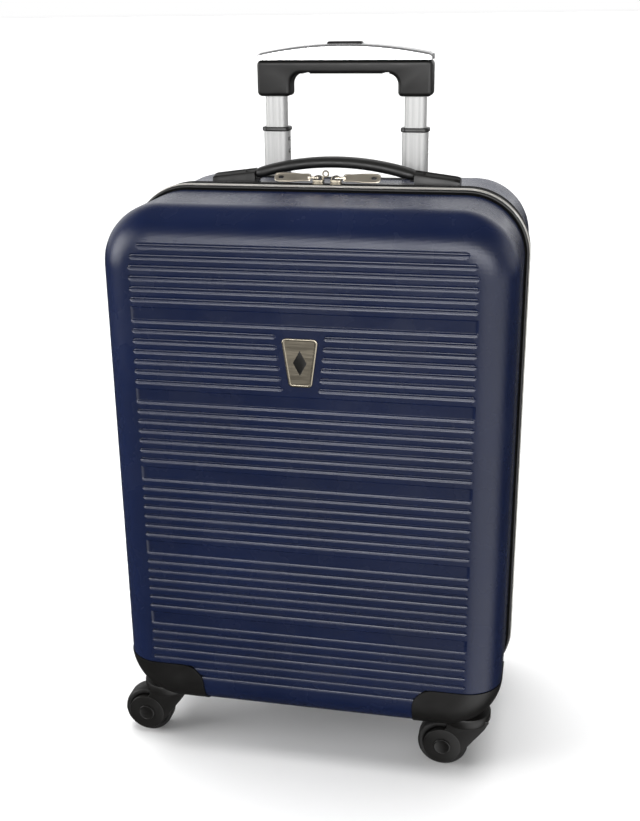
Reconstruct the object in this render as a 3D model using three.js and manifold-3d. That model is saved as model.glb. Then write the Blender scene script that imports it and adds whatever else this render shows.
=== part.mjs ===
// A hard shell cabin suitcase on four swivel wheels, in millimetres.
// +Z is up, the front of the case faces -Y, and the hinge side is on -X.
// The origin is on the floor, at the centre of the whole object's footprint.

import * as THREE from 'three';
import { mergeVertices } from 'three/addons/utils/BufferGeometryUtils.js';
import Module from 'manifold-3d';

// ---------------------------------------------------------------- driving dimensions

const GAP = 0.3;                 // air left between neighbouring pieces
const CORNER_SEGMENTS = 4;       // how finely the case's corners and edges are divided
const EDGE_SEGMENTS = 4;

// The case, measured on the outside of the shells
const HALF_WIDTH = 181;
const HALF_DEPTH = 118;
const BOTTOM = 50;
const TOP = 536;
const CORNER_RADIUS = 53;        // the four corners seen from the front
const FRONT_EDGE_RADIUS = 33;
const REAR_EDGE_RADIUS = 20;
const WALL = 2.5;
const FRONT_RIM_Y = -12;
const REAR_RIM_Y = 18;
const ZIP_Y = 6;                 // the plane in which the two halves part

// The ribbed panel: bands of grooves, with one wide strip in every eighth place
const RIB_PITCH = 9.3;
const RIB_COUNT = 46;
const RIBS_PER_BAND = 8;
const STRIP_PLACE = 6;
const PANEL_TOP = 512.4;
const PANEL_HALF_WIDTH = 149.8;
const PANEL_CHAMFER_WIDTH = 16;
const PANEL_CHAMFER_HEIGHT = 23;
const GROOVE_DEPTH = 1.5;
const GROOVE_HEIGHT = 0.5 * RIB_PITCH;
const GROOVE_STEP = 0.1 * RIB_PITCH;      // how quickly a groove's upper side steps in
const GROOVE_SLOPE = 0.3 * RIB_PITCH;     // how slowly its lower side comes back out

// The badge
const BADGE_TOP = 429;
const BADGE_BOTTOM = 386;
const BADGE_TOP_HALF_WIDTH = 15.4;
const BADGE_BOTTOM_HALF_WIDTH = 10.4;
const BADGE_CORNER = 4;
const BADGE_MARGIN = 5.5;        // plain shell left round the badge
const BADGE_PROUD = 0.9;
const BADGE_SINK = 0.9;
const BADGE_BEVEL = 0.6;

// Bands round the zip: how far each stands out from the case, and where it lies in Y
const TAPE_INNER = -2.2;
const TAPE_OUTER = 0.8;
const BAND_FOOT = TAPE_OUTER + GAP;       // the other bands stand on the tapes
const ZIP_PART = GAP / 2;                 // half of the gap between the two halves of the zip
const COIL = { proud: 4.6, width: 3.45 };
const WELT = { proud: 4.2, y0: -11.5, y1: -6.6, bevel: 1.2 };
const FRONT_PIPING = { proud: 6, y0: -6.2, y1: -1.2, bevel: 1.7 };
const REAR_PIPING = { proud: 4.4, y0: 13, y1: 16.4, bevel: 0 };

// Zip sliders and pulls
const SLIDER_X = 8.2;
const SLIDER_FLOOR = 540.9;
const SLIDER_LENGTH = 11;
const SLIDER_WIDTH = 8.4;
const SLIDER_HEIGHT = 4.4;
const SLIDER_CORNER = 2.6;
const SLIDER_BEVEL = 0.8;
const BRIDGE = { halfLength: 4.8, halfWidth: 1.5, height: 4, foot: 1, corner: 1.6, bevel: 0.4 };
const BRIDGE_WALL = 1.6;                  // metal left at each end of the bridge's window
const BRIDGE_ROOF = 1.3;
const EYE_RADIUS = 2.6;
const EYE_WIRE = 0.75;
const EYE_X = -1.4;
const EYE_Z = 550.2;
const EYE_FOOT = { x0: -4.2, x1: -3.1, halfWidth: 0.7, top: 549.6 };
const PULL_PIN_Z = 546.7;
const PULL_LENGTH = 41;
const PULL_WIDTH = 10;
const PULL_LEAN = THREE.MathUtils.degToRad(50);
const PULL_WIRE = 0.7;                    // half the thickness of the pull's plate and arms
const PULL_ARM_Y = 3;
const PULL_NECK_X = 8;
const PULL_NECK_RADIUS = 1.3;
const PULL_PLATE_START = 6.5;
const PULL_CORNER = 3;
const PULL_HOLE_HALF = 1.5;
const PULL_HOLE_INSET = 5.5;

// The trolley handle, as it stands partly drawn out
const TUBE_X = 68.5;
const TUBE_Y = 98;
const OUTER_TUBE = { width: 28.8, depth: 21.8, wall: 1.1, corner: 7, bottom: 68.3, top: 508.7 };
const LOWER_TUBE = { width: 25, depth: 18, wall: 1.1, corner: 6, bottom: 138, top: 579.3 };
const UPPER_TUBE = { width: 20.8, depth: 14.6, wall: 1.1, corner: 5, bottom: 175, top: 632 };
const COLLAR = { width: 27.4, depth: 20.4, corner: 6.5, bottom: 579.6, top: 583.4 };
const DETENT_HEIGHTS = [560, 571.7];
const DETENT = { halfDepth: 5, halfHeight: 2, corner: 1.9 };
const GRIP_LEG_BOTTOM = 612.5;
const GRIP_UNDERSIDE = 633.5;
const GRIP_SPLIT = 646;
const GRIP_HALF_WIDTH = 85;
const GRIP_LEG_INNER_X = 52.5;
const GRIP_HALF_DEPTH = 12;
const GRIP_INNER_RADIUS = 10;
const GRIP_LEG_ROUND = 3;
const GRIP_BEVEL = 3;
const COVER_HALF_DEPTH = 13.4;
const COVER_END_HEIGHT = 6;
const COVER_INSET = 0.5;                  // the cover is this much shorter than the grip at each end
const COVER_BEVEL = 2;
const COVER_TOP = 661;
const BUTTON_HALF_WIDTH = 17;
const BUTTON_HALF_DEPTH = 6.5;
const BUTTON_TOP = 662.8;
const BUTTON_TRAVEL = 4;
const BUTTON_CORNER = 2.5;
const BUTTON_BEVEL = 1.5;
const BUTTON_PLAY = 0.5;                  // between the button and the hole in the cover
const YOKE_TOP = 644;
const YOKE_HEIGHT = 3.7;
const YOKE_HALF_LENGTH = 72;
const YOKE_HALF_DEPTH = 4;
const YOKE_CORNER = 1.5;
const YOKE_PLAY = 1;
const CHANNEL_FLOOR = 635;                // of the channel in the grip that the yoke moves in
const RELEASE_ROD_RADIUS = 2.2;
const RELEASE_ROD_START = 8;              // above the upper tube's foot

// The bay at the top of the rear shell that the handle drops into
const BAY_HALF_WIDTH = 86.5;
const BAY_HALF_DEPTH = 13.2;
const BAY_FLOOR = 511.5;
const BAY_WALL = 2.5;
const BAY_CORNER = 6;
const BAY_TUBE_PLAY = 0.5;
const BEZEL_HALF_WIDTH = 98;
const BEZEL_FRONT_Y = 80;
const BEZEL_BOTTOM = 504;
const BEZEL_REAR_CORNER = 10;
const BEZEL_TOP_CORNER = 8;
const BRACKET_MARGIN = 2;
const BRACKET_HALF_DEPTH = 12;
const BRACKET_CORNER = 4;

// The carry handle on top
const CARRY_Y = 45;
const CARRY_GRIP_HALF_LENGTH = 75.6;
const CARRY_GRIP_TOP = 561;
const CARRY_GRIP_THICKNESS = 10;
const CARRY_GRIP_RISE = 11.5;
const CARRY_GRIP_HALF_DEPTH = 11;
const CARRY_MOUNT_END_X = 118;
const CARRY_LIFT = 3;
const CARRY_GRIP_BEVEL = 3.2;
const CARRY_JOINT = 0.4;                  // between the grip's end and its mount
const MOUNT_INNER_RISE = 1.2;             // the mount's inner end stands this much above the grip's end
const MOUNT_OUTER_HEIGHT = 7.5;
const MOUNT_OUTER_LEAN = 2.5;
const MOUNT_BEVEL = 0.8;
const SOCKET_BOTTOM = TOP + 3.3;
const SOCKET_TOP = SOCKET_BOTTOM + 8;
const SOCKET_DEPTH = 10;
const SOCKET_HALF_WIDTH = 7.2;
const TAB_HALF_WIDTH = 6.4;
const TAB_ROOT = 4;
const TAB_LENGTH = 8;

// The corner wheels
const CASTER_X = 149;
const CASTER_Y = 83;
const HOUSING_INNER_X = 101;
const HOUSING_INNER_Y = 40;
const HOUSING_TOP = 98;
const HOUSING_CORNER = 20;
const HOUSING_PROUD = 1;
const FLANGE_LAP = 8;            // how far the flange reaches behind the shell
const FLANGE_INSET = 4.6;
const CROWN_RADIUS = 23.5;
const CROWN_TOP = 61.6;
const CROWN_BOTTOM = 50.5;
const CROWN_SHOULDER = 1.5;
const CROWN_FOOT = 3;
const RECESS_RADIUS = 26.5;
const RECESS_PLAY = 0.6;
const DOME_WALL = 3;
const DOME_ROOF = 4;
const BOSS_TOP = 76;
const BOSS_WALL = 5;
const WHEEL_RADIUS = 24;
const WHEEL_WIDTH = 18;
const WHEEL_TRAIL = 21;
const WHEEL_SHOULDER = 2.2;
const FORK_HALF_WIDTH = 14;
const CHEEK_THICKNESS = 4;
const CHEEK_DISC_RADIUS = 18;
const AXLE_RADIUS = 3;
const AXLE_CAP = { radius: 8, thickness: 1.2 };
const KINGPIN_RADIUS = 4;
const KINGPIN_HEAD = { radius: 7, lower: 2, upper: 2.5 };

// The fork's arm from the side, as X from the swivel axis and Z: from the crown down round the hub
const FORK_ARM = [[-14, 58], [21.5, 58], [21.5, 54.5], [3.5, 27], [-12, 9], [-32, 30], [-14, 40.5]];

// Lining inside the two halves
const LINING_INSET = 3;
const LINING_THICKNESS = 1.2;
const REAR_LINING_Y = 79.5;

// The cloth strip inside the zip's uncut side, which the case opens on
const GUSSET = { thickness: 0.8, y0: -11, y1: 17, z0: 120, z1: 470 };

// Packing straps against the rear lining
const STRAP_WIDTH = 25;
const STRAP_THICKNESS = 1;
const STRAP_Y1 = REAR_LINING_Y - LINING_THICKNESS - GAP;
const STRAP_CENTRE_Z = 300;
const STRAP_END_X = 172;
const STRAP_SPREAD = 120;
const STRAP_CROTCH = 26;
const BUCKLE_HALF_WIDTH = 19;
const BUCKLE_HALF_HEIGHT = 15;
const BUCKLE_THICKNESS = 6;
const BUCKLE_CORNER = 5;

// The front left wheel trails outside the case, which moves the footprint's centre
const FOOTPRINT_SHIFT = (CASTER_X + WHEEL_TRAIL + WHEEL_RADIUS - HALF_WIDTH - FRONT_PIPING.proud) / 2;

// ---------------------------------------------------------------- materials

const finish = (color, roughness, metalness) => (
  new THREE.MeshStandardMaterial({ color, roughness, metalness })
);

const NAVY_SHELL = () => finish(0x2c3145, 0.45, 0);
const BLACK_PLASTIC = () => finish(0x1f1f1e, 0.5, 0);
const GREY_PIPING = () => finish(0x77736c, 0.35, 0);
const BLACK_RUBBER = () => finish(0x161616, 0.6, 0);
const ZIP_FABRIC = () => finish(0x121212, 0.9, 0);
const ZIP_COIL = () => finish(0x1a1a1c, 0.5, 0);
const PEWTER = () => finish(0x9a8f7f, 0.35, 0.9);
const ALUMINIUM = () => finish(0xc9c9cb, 0.3, 0.9);
const SILVER_PLASTIC = () => finish(0xe4e4e6, 0.3, 0.3);
const STEEL = () => finish(0x8c8c8e, 0.35, 1);
const LINING = () => finish(0x4a4d55, 0.95, 0);
const STRAP = () => finish(0x2a2a2c, 0.9, 0);

// ---------------------------------------------------------------- solids and booleans

const wasm = await Module();
wasm.setup();

function solidOf(geometry) {
  geometry.deleteAttribute('normal');
  geometry.deleteAttribute('uv');
  const merged = mergeVertices(geometry, 1e-4);
  return new wasm.Manifold(new wasm.Mesh({
    numProp: 3,
    vertProperties: merged.attributes.position.array,
    triVerts: new Uint32Array(merged.index.array),
  }));
}

function geometryOf(solid) {
  const result = solid.getMesh();
  const geometry = new THREE.BufferGeometry();
  geometry.setAttribute('position', new THREE.BufferAttribute(new Float32Array(result.vertProperties), 3));
  geometry.setIndex(new THREE.BufferAttribute(new Uint32Array(result.triVerts), 1));
  geometry.computeVertexNormals();
  return geometry;
}

function join(...solids) {
  return solids.reduce((sum, next) => sum.add(next));
}

function cut(solid, ...tools) {
  return tools.reduce((rest, tool) => rest.subtract(tool), solid);
}

function boxSolid(x0, x1, y0, y1, z0, z1) {
  const geometry = new THREE.BoxGeometry(x1 - x0, y1 - y0, z1 - z0);
  geometry.translate((x0 + x1) / 2, (y0 + y1) / 2, (z0 + z1) / 2);
  return solidOf(geometry);
}

// A cylinder along 'x', 'y' or 'z' from one station to another
function rodSolid(axis, radius, from, to, centre, segments = 16) {
  const geometry = new THREE.CylinderGeometry(radius, radius, to - from, segments);
  geometry.translate(0, (from + to) / 2, 0);
  if (axis === 'x') geometry.rotateZ(-Math.PI / 2);
  if (axis === 'z') geometry.rotateX(Math.PI / 2);
  geometry.translate(...centre);
  return solidOf(geometry);
}

// Extrusion settings with a round edge that stays inside the drawn outline
function roundEdged(depth, bevel, bevelSegments, curveSegments) {
  return {
    depth: depth - 2 * bevel,
    curveSegments,
    bevelEnabled: bevel > 0,
    bevelThickness: bevel,
    bevelSize: bevel,
    bevelOffset: -bevel,
    bevelSegments,
  };
}

// An outline drawn in X and Z, carried along Y
function alongY(outline, y0, y1, bevel = 0, bevelSegments = 1, curveSegments = 2) {
  const settings = roundEdged(y1 - y0, bevel, bevelSegments, curveSegments);
  const geometry = new THREE.ExtrudeGeometry(outline, settings);
  geometry.rotateX(Math.PI / 2);
  geometry.translate(0, y1 - bevel, 0);
  return geometry;
}

// An outline drawn in Y and Z, carried along X
function alongX(outline, x0, x1, bevel = 0, bevelSegments = 1, curveSegments = 2) {
  const settings = roundEdged(x1 - x0, bevel, bevelSegments, curveSegments);
  const geometry = new THREE.ExtrudeGeometry(outline, settings);
  geometry.rotateX(Math.PI / 2);
  geometry.rotateZ(Math.PI / 2);
  geometry.translate(x0 + bevel, 0, 0);
  return geometry;
}

// An outline drawn in X and Y, carried along Z
function alongZ(outline, z0, z1, bevel = 0, bevelSegments = 1, curveSegments = 2) {
  const settings = roundEdged(z1 - z0, bevel, bevelSegments, curveSegments);
  const geometry = new THREE.ExtrudeGeometry(outline, settings);
  geometry.translate(0, 0, z0 + bevel);
  return geometry;
}

// A turned piece about Y: its profile is a list of radius and station
function turned(profile, segments) {
  const points = profile.map(([radius, station]) => new THREE.Vector2(radius, station));
  return new THREE.LatheGeometry(points, segments);
}

// ---------------------------------------------------------------- outlines

function roundedRect(x0, x1, y0, y1, radius) {
  const outline = new THREE.Shape();
  outline.absarc(x1 - radius, y1 - radius, radius, 0, Math.PI / 2);
  outline.absarc(x0 + radius, y1 - radius, radius, Math.PI / 2, Math.PI);
  outline.absarc(x0 + radius, y0 + radius, radius, Math.PI, 1.5 * Math.PI);
  outline.absarc(x1 - radius, y0 + radius, radius, 1.5 * Math.PI, 2 * Math.PI);
  return outline;
}

function polygon(points) {
  return new THREE.Shape(points.map(([x, y]) => new THREE.Vector2(x, y)));
}

function caseOutline(outset) {
  const halfWidth = HALF_WIDTH + outset;
  return roundedRect(-halfWidth, halfWidth, BOTTOM - outset, TOP + outset, CORNER_RADIUS + outset);
}

// A closed band that runs round the case between two outsets from its outside
function bandGeometry(innerOutset, outerOutset, y0, y1, bevel) {
  const outline = caseOutline(outerOutset);
  outline.holes.push(caseOutline(innerOutset));
  return alongY(outline, y0, y1, bevel, 1, CORNER_SEGMENTS);
}

// ---------------------------------------------------------------- the case volume

// The whole case as one round-edged block, grown or shrunk by an outset
function caseVolume(outset, edgeRadius) {
  const halfDepth = HALF_DEPTH + outset;
  const radius = edgeRadius + outset;
  return solidOf(alongY(caseOutline(outset), -halfDepth, halfDepth, radius, EDGE_SEGMENTS, CORNER_SEGMENTS));
}

function slabY(y0, y1) {
  const reach = 400;
  return boxSolid(-reach, reach, y0, y1, -reach, 3 * reach);
}

// Orders two signed stations, so that the same code serves the left and the right
function span(a, b) {
  return [Math.min(a, b), Math.max(a, b)];
}

// The block of space that a wheel housing takes out of a bottom corner of the case
function cornerRegion(side, end, grow) {
  const reach = 260;
  const [x0, x1] = span(side * (HOUSING_INNER_X - grow), side * reach);
  const [y0, y1] = span(end * (HOUSING_INNER_Y - grow), end * reach);
  const radius = HOUSING_CORNER + grow;
  const frontView = roundedRect(x0, x1, -reach, HOUSING_TOP + grow, radius);
  const sideView = roundedRect(y0, y1, -reach, HOUSING_TOP + grow, radius);
  return solidOf(alongY(frontView, y0, y1)).intersect(solidOf(alongX(sideView, x0, x1)));
}

// The space that the trolley handle's bezel takes out of the rear shell's top edge
function bezelRegion(grow) {
  const reach = 700;
  const halfWidth = BEZEL_HALF_WIDTH + grow;
  const rearView = roundedRect(-halfWidth, halfWidth, BEZEL_BOTTOM - grow, reach, BEZEL_REAR_CORNER + grow);
  const topView = roundedRect(-halfWidth, halfWidth, BEZEL_FRONT_Y - grow, reach, BEZEL_TOP_CORNER + grow);
  return solidOf(alongY(rearView, 0, reach)).intersect(solidOf(alongZ(topView, 0, reach)));
}

// ---------------------------------------------------------------- ribs and badge

function badgeOutline(grow) {
  const top = BADGE_TOP + grow - BADGE_CORNER;
  const bottom = BADGE_BOTTOM - grow + BADGE_CORNER;
  const topX = BADGE_TOP_HALF_WIDTH + grow - BADGE_CORNER;
  const bottomX = BADGE_BOTTOM_HALF_WIDTH + grow - BADGE_CORNER;
  const outline = new THREE.Shape();
  outline.absarc(topX, top, BADGE_CORNER, 0, Math.PI / 2);
  outline.absarc(-topX, top, BADGE_CORNER, Math.PI / 2, Math.PI);
  outline.absarc(-bottomX, bottom, BADGE_CORNER, Math.PI, 1.5 * Math.PI);
  outline.absarc(bottomX, bottom, BADGE_CORNER, 1.5 * Math.PI, 2 * Math.PI);
  return outline;
}

function badgeHalfWidthAt(z) {
  const share = (z - BADGE_BOTTOM) / (BADGE_TOP - BADGE_BOTTOM);
  return THREE.MathUtils.lerp(BADGE_BOTTOM_HALF_WIDTH, BADGE_TOP_HALF_WIDTH, share);
}

// The grooves run out earlier in the panel's chamfered top corners
function grooveHalfLengthAt(z) {
  const below = Math.min((PANEL_TOP - z) / PANEL_CHAMFER_HEIGHT, 1);
  return PANEL_HALF_WIDTH - PANEL_CHAMFER_WIDTH * (1 - below);
}

// One groove's section: a steep wall above and a longer slope below
function grooveSection(top, bottom, face, inward) {
  const outside = face - inward;
  const floor = face + inward * GROOVE_DEPTH;
  return polygon([
    [outside, top],
    [floor, top - GROOVE_STEP],
    [floor, bottom + GROOVE_SLOPE],
    [face, bottom],
    [outside, bottom],
  ]);
}

function ribCutters(face, inward, withBadge) {
  const cutters = [];
  for (let rib = 0; rib < RIB_COUNT; rib += 1) {
    const place = rib % RIBS_PER_BAND;
    if (place > STRIP_PLACE) continue;
    const top = PANEL_TOP - (rib + 1) * RIB_PITCH + GROOVE_HEIGHT;
    const bottom = top - GROOVE_HEIGHT - (place === STRIP_PLACE ? RIB_PITCH : 0);
    const section = grooveSection(top, bottom, face, inward);
    const reach = grooveHalfLengthAt(bottom);
    const nearBadge = top > BADGE_BOTTOM - BADGE_MARGIN && bottom < BADGE_TOP + BADGE_MARGIN;
    if (withBadge && nearBadge) {
      const inner = badgeHalfWidthAt((top + bottom) / 2) + BADGE_MARGIN;
      cutters.push(solidOf(alongX(section, -reach, -inner)));
      cutters.push(solidOf(alongX(section, inner, reach)));
    } else {
      cutters.push(solidOf(alongX(section, -reach, reach)));
    }
  }
  return cutters;
}

function badge() {
  const front = -HALF_DEPTH - BADGE_PROUD;
  return alongY(badgeOutline(0), front, -HALF_DEPTH + BADGE_SINK, BADGE_BEVEL);
}

// ---------------------------------------------------------------- shells and linings

function frontShell() {
  const hollow = cut(caseVolume(0, FRONT_EDGE_RADIUS), caseVolume(-WALL, FRONT_EDGE_RADIUS));
  const half = hollow.intersect(slabY(-HALF_DEPTH - 1, FRONT_RIM_Y));
  const badgePocket = solidOf(alongY(badgeOutline(GAP), -HALF_DEPTH - 2, -HALF_DEPTH + BADGE_SINK + GAP));
  const corners = [cornerRegion(-1, -1, GAP), cornerRegion(1, -1, GAP)];
  return geometryOf(cut(half, ...corners, badgePocket, ...ribCutters(-HALF_DEPTH, 1, true)));
}

function rearShell() {
  const hollow = cut(caseVolume(0, REAR_EDGE_RADIUS), caseVolume(-WALL, REAR_EDGE_RADIUS));
  const half = hollow.intersect(slabY(REAR_RIM_Y, HALF_DEPTH + 1));
  const corners = [cornerRegion(-1, 1, GAP), cornerRegion(1, 1, GAP)];
  return geometryOf(cut(half, ...corners, bezelRegion(GAP), ...ribCutters(HALF_DEPTH, -1, false)));
}

// The room inside one half, with the two wheel housings left out of its bottom corners
function room(end, edgeRadius, inset) {
  const corners = [-1, 1].map((side) => cornerRegion(side, end, FLANGE_LAP + inset - WALL));
  return cut(caseVolume(-inset, edgeRadius), ...corners);
}

function frontLining() {
  const outside = room(-1, FRONT_EDGE_RADIUS, LINING_INSET);
  const inside = room(-1, FRONT_EDGE_RADIUS, LINING_INSET + LINING_THICKNESS);
  const tray = outside.intersect(slabY(-HALF_DEPTH, FRONT_RIM_Y - 1));
  return geometryOf(cut(tray, inside.intersect(slabY(-HALF_DEPTH, 0))));
}

// This lining's back lies in front of the trolley tubes, as a false wall
function rearLining() {
  const outside = room(1, REAR_EDGE_RADIUS, LINING_INSET);
  const inside = room(1, REAR_EDGE_RADIUS, LINING_INSET + LINING_THICKNESS);
  const tray = outside.intersect(slabY(REAR_RIM_Y + 1, REAR_LINING_Y));
  return geometryOf(cut(tray, inside.intersect(slabY(0, REAR_LINING_Y - LINING_THICKNESS))));
}

function hingeGusset() {
  const outer = -HALF_WIDTH - TAPE_INNER + GAP;
  const geometry = new THREE.BoxGeometry(GUSSET.thickness, GUSSET.y1 - GUSSET.y0, GUSSET.z1 - GUSSET.z0);
  geometry.translate(outer + GUSSET.thickness / 2, (GUSSET.y0 + GUSSET.y1) / 2, (GUSSET.z0 + GUSSET.z1) / 2);
  return geometry;
}

// ---------------------------------------------------------------- packing straps

// Each strap is a V that runs from the buckle to two points on the case's side
function packingStrap(side) {
  const half = STRAP_WIDTH / 2;
  const near = side * (BUCKLE_HALF_WIDTH + 1);
  const far = side * STRAP_END_X;
  const crotch = side * (BUCKLE_HALF_WIDTH + STRAP_CROTCH);
  const outline = polygon([
    [near, STRAP_CENTRE_Z - half],
    [far, STRAP_CENTRE_Z - STRAP_SPREAD - half],
    [far, STRAP_CENTRE_Z - STRAP_SPREAD + half],
    [crotch, STRAP_CENTRE_Z],
    [far, STRAP_CENTRE_Z + STRAP_SPREAD - half],
    [far, STRAP_CENTRE_Z + STRAP_SPREAD + half],
    [near, STRAP_CENTRE_Z + half],
  ]);
  return alongY(outline, STRAP_Y1 - STRAP_THICKNESS, STRAP_Y1);
}

function packingBuckle() {
  const outline = roundedRect(
    -BUCKLE_HALF_WIDTH, BUCKLE_HALF_WIDTH,
    STRAP_CENTRE_Z - BUCKLE_HALF_HEIGHT, STRAP_CENTRE_Z + BUCKLE_HALF_HEIGHT, BUCKLE_CORNER,
  );
  return alongY(outline, STRAP_Y1 - BUCKLE_THICKNESS, STRAP_Y1, 1);
}

// ---------------------------------------------------------------- zip

function zipTape(y0, y1) {
  return bandGeometry(TAPE_INNER, TAPE_OUTER, y0, y1, 0);
}

function trimBand(band) {
  return bandGeometry(BAND_FOOT, band.proud, band.y0, band.y1, band.bevel);
}

function zipCoil(y0) {
  return bandGeometry(BAND_FOOT, COIL.proud, y0, y0 + COIL.width, 0);
}

function slider(side) {
  const x = side * SLIDER_X;
  const top = SLIDER_FLOOR + SLIDER_HEIGHT;
  const half = SLIDER_LENGTH / 2;
  const [front, back] = [ZIP_Y - SLIDER_WIDTH / 2, ZIP_Y + SLIDER_WIDTH / 2];
  const plan = roundedRect(x - half, x + half, front, back, SLIDER_CORNER);
  const body = solidOf(alongZ(plan, SLIDER_FLOOR, top, SLIDER_BEVEL));
  const { halfLength, halfWidth, height, foot, corner, bevel } = BRIDGE;
  const bridgeProfile = roundedRect(x - halfLength, x + halfLength, top - foot, top + height, corner);
  const bridge = solidOf(alongY(bridgeProfile, ZIP_Y - halfWidth, ZIP_Y + halfWidth, bevel));
  const windowHalf = halfLength - BRIDGE_WALL;
  const windowProfile = roundedRect(x - windowHalf, x + windowHalf, top + GAP, top + height - BRIDGE_ROOF, 1);
  const window = solidOf(alongY(windowProfile, front, back));
  const whole = cut(join(body, bridge), window);
  return geometryOf(side < 0 ? join(whole, lockEye()) : whole);
}

// The small ring, standing between the two sliders, that a padlock goes through
function lockEye() {
  const { x0, x1, halfWidth, top } = EYE_FOOT;
  const ring = new THREE.TorusGeometry(EYE_RADIUS, EYE_WIRE, 6, 12);
  ring.rotateX(Math.PI / 2);
  ring.translate(EYE_X, ZIP_Y, EYE_Z);
  const foot = boxSolid(x0, x1, ZIP_Y - halfWidth, ZIP_Y + halfWidth, SLIDER_FLOOR + SLIDER_HEIGHT - 1, top);
  return join(solidOf(ring), foot);
}

// The pull is drawn with its pin on its own origin and the plate to one side along X
function zipPull(side) {
  const reachY = PULL_ARM_Y + PULL_WIRE;
  const hole = PULL_HOLE_HALF;
  const holeX = side * (PULL_LENGTH - PULL_HOLE_INSET);
  const pin = rodSolid('y', PULL_WIRE, -reachY, reachY, [0, 0, 0], 8);
  const neck = rodSolid('y', PULL_NECK_RADIUS, -reachY, reachY, [side * PULL_NECK_X, 0, 0], 10);
  const [armStart, armEnd] = span(0, side * PULL_NECK_X);
  const arms = [-PULL_ARM_Y, PULL_ARM_Y].map((y) => (
    boxSolid(armStart, armEnd, y - PULL_WIRE, y + PULL_WIRE, -PULL_WIRE, PULL_WIRE)
  ));
  const [plateStart, plateEnd] = span(side * PULL_PLATE_START, side * PULL_LENGTH);
  const plateOutline = roundedRect(plateStart, plateEnd, -PULL_WIDTH / 2, PULL_WIDTH / 2, PULL_CORNER);
  plateOutline.holes.push(roundedRect(holeX - hole, holeX + hole, -hole, hole, hole - 0.1));
  const plateGeometry = alongZ(plateOutline, -PULL_WIRE, PULL_WIRE, GAP, 1);
  plateGeometry.rotateX(PULL_LEAN);
  return geometryOf(join(pin, neck, ...arms, solidOf(plateGeometry)));
}

// ---------------------------------------------------------------- trolley handle

function tubeOutline(tube, x, grow) {
  const halfWidth = tube.width / 2 + grow;
  const halfDepth = tube.depth / 2 + grow;
  const [front, back] = [TUBE_Y - halfDepth, TUBE_Y + halfDepth];
  return roundedRect(x - halfWidth, x + halfWidth, front, back, tube.corner + grow);
}

function tube(size, x) {
  const outline = tubeOutline(size, x, 0);
  outline.holes.push(tubeOutline(size, x, -size.wall));
  return alongZ(outline, size.bottom, size.top);
}

// The lower tube has detent slots in its right-hand wall
function lowerTube(x) {
  const { halfDepth, halfHeight, corner } = DETENT;
  const [front, back] = [TUBE_Y - halfDepth, TUBE_Y + halfDepth];
  const holes = DETENT_HEIGHTS.map((z) => (
    solidOf(alongX(roundedRect(front, back, z - halfHeight, z + halfHeight, corner), x, x + LOWER_TUBE.width))
  ));
  return geometryOf(cut(solidOf(tube(LOWER_TUBE, x)), ...holes));
}

function collar(x) {
  const outline = tubeOutline(COLLAR, x, 0);
  outline.holes.push(tubeOutline(UPPER_TUBE, x, GAP));
  return alongZ(outline, COLLAR.bottom, COLLAR.top, 0.6);
}

// Seen from the front, the grip is an arch with two legs
function gripOutline() {
  const inner = GRIP_LEG_INNER_X - GRIP_INNER_RADIUS;
  const under = GRIP_UNDERSIDE - GRIP_INNER_RADIUS;
  const outline = new THREE.Shape();
  outline.moveTo(-GRIP_HALF_WIDTH, GRIP_SPLIT);
  outline.lineTo(-GRIP_HALF_WIDTH, GRIP_LEG_BOTTOM + GRIP_LEG_ROUND);
  outline.lineTo(-GRIP_HALF_WIDTH + GRIP_LEG_ROUND, GRIP_LEG_BOTTOM);
  outline.lineTo(-GRIP_LEG_INNER_X, GRIP_LEG_BOTTOM);
  outline.lineTo(-GRIP_LEG_INNER_X, under);
  outline.absarc(-inner, under, GRIP_INNER_RADIUS, Math.PI, Math.PI / 2, true);
  outline.lineTo(inner, GRIP_UNDERSIDE);
  outline.absarc(inner, under, GRIP_INNER_RADIUS, Math.PI / 2, 0, true);
  outline.lineTo(GRIP_LEG_INNER_X, GRIP_LEG_BOTTOM);
  outline.lineTo(GRIP_HALF_WIDTH - GRIP_LEG_ROUND, GRIP_LEG_BOTTOM);
  outline.lineTo(GRIP_HALF_WIDTH, GRIP_LEG_BOTTOM + GRIP_LEG_ROUND);
  outline.lineTo(GRIP_HALF_WIDTH, GRIP_SPLIT);
  return outline;
}

function trolleyGrip() {
  const front = TUBE_Y - GRIP_HALF_DEPTH;
  const back = TUBE_Y + GRIP_HALF_DEPTH;
  const body = solidOf(alongY(gripOutline(), front, back, GRIP_BEVEL, 2, 3));
  const cutters = [];
  for (const x of [-TUBE_X, TUBE_X]) {
    const socketTop = UPPER_TUBE.top + GAP;
    cutters.push(solidOf(alongZ(tubeOutline(UPPER_TUBE, x, GAP), GRIP_LEG_BOTTOM - 2, socketTop)));
    const rodHole = RELEASE_ROD_RADIUS + GAP;
    cutters.push(rodSolid('z', rodHole, socketTop - 1, CHANNEL_FLOOR + 1, [x, TUBE_Y, 0], 12));
  }
  const channelX = YOKE_HALF_LENGTH + YOKE_PLAY;
  const channelY = YOKE_HALF_DEPTH + YOKE_PLAY;
  const lid = GRIP_SPLIT + 1;
  cutters.push(boxSolid(-channelX, channelX, TUBE_Y - channelY, TUBE_Y + channelY, CHANNEL_FLOOR, lid));
  const pocketX = BUTTON_HALF_WIDTH + BUTTON_PLAY;
  const pocketY = BUTTON_HALF_DEPTH + BUTTON_PLAY;
  const pocketFloor = YOKE_TOP - BUTTON_TRAVEL - YOKE_PLAY;
  cutters.push(boxSolid(-pocketX, pocketX, TUBE_Y - pocketY, TUBE_Y + pocketY, pocketFloor, lid));
  return geometryOf(cut(body, ...cutters));
}

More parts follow.
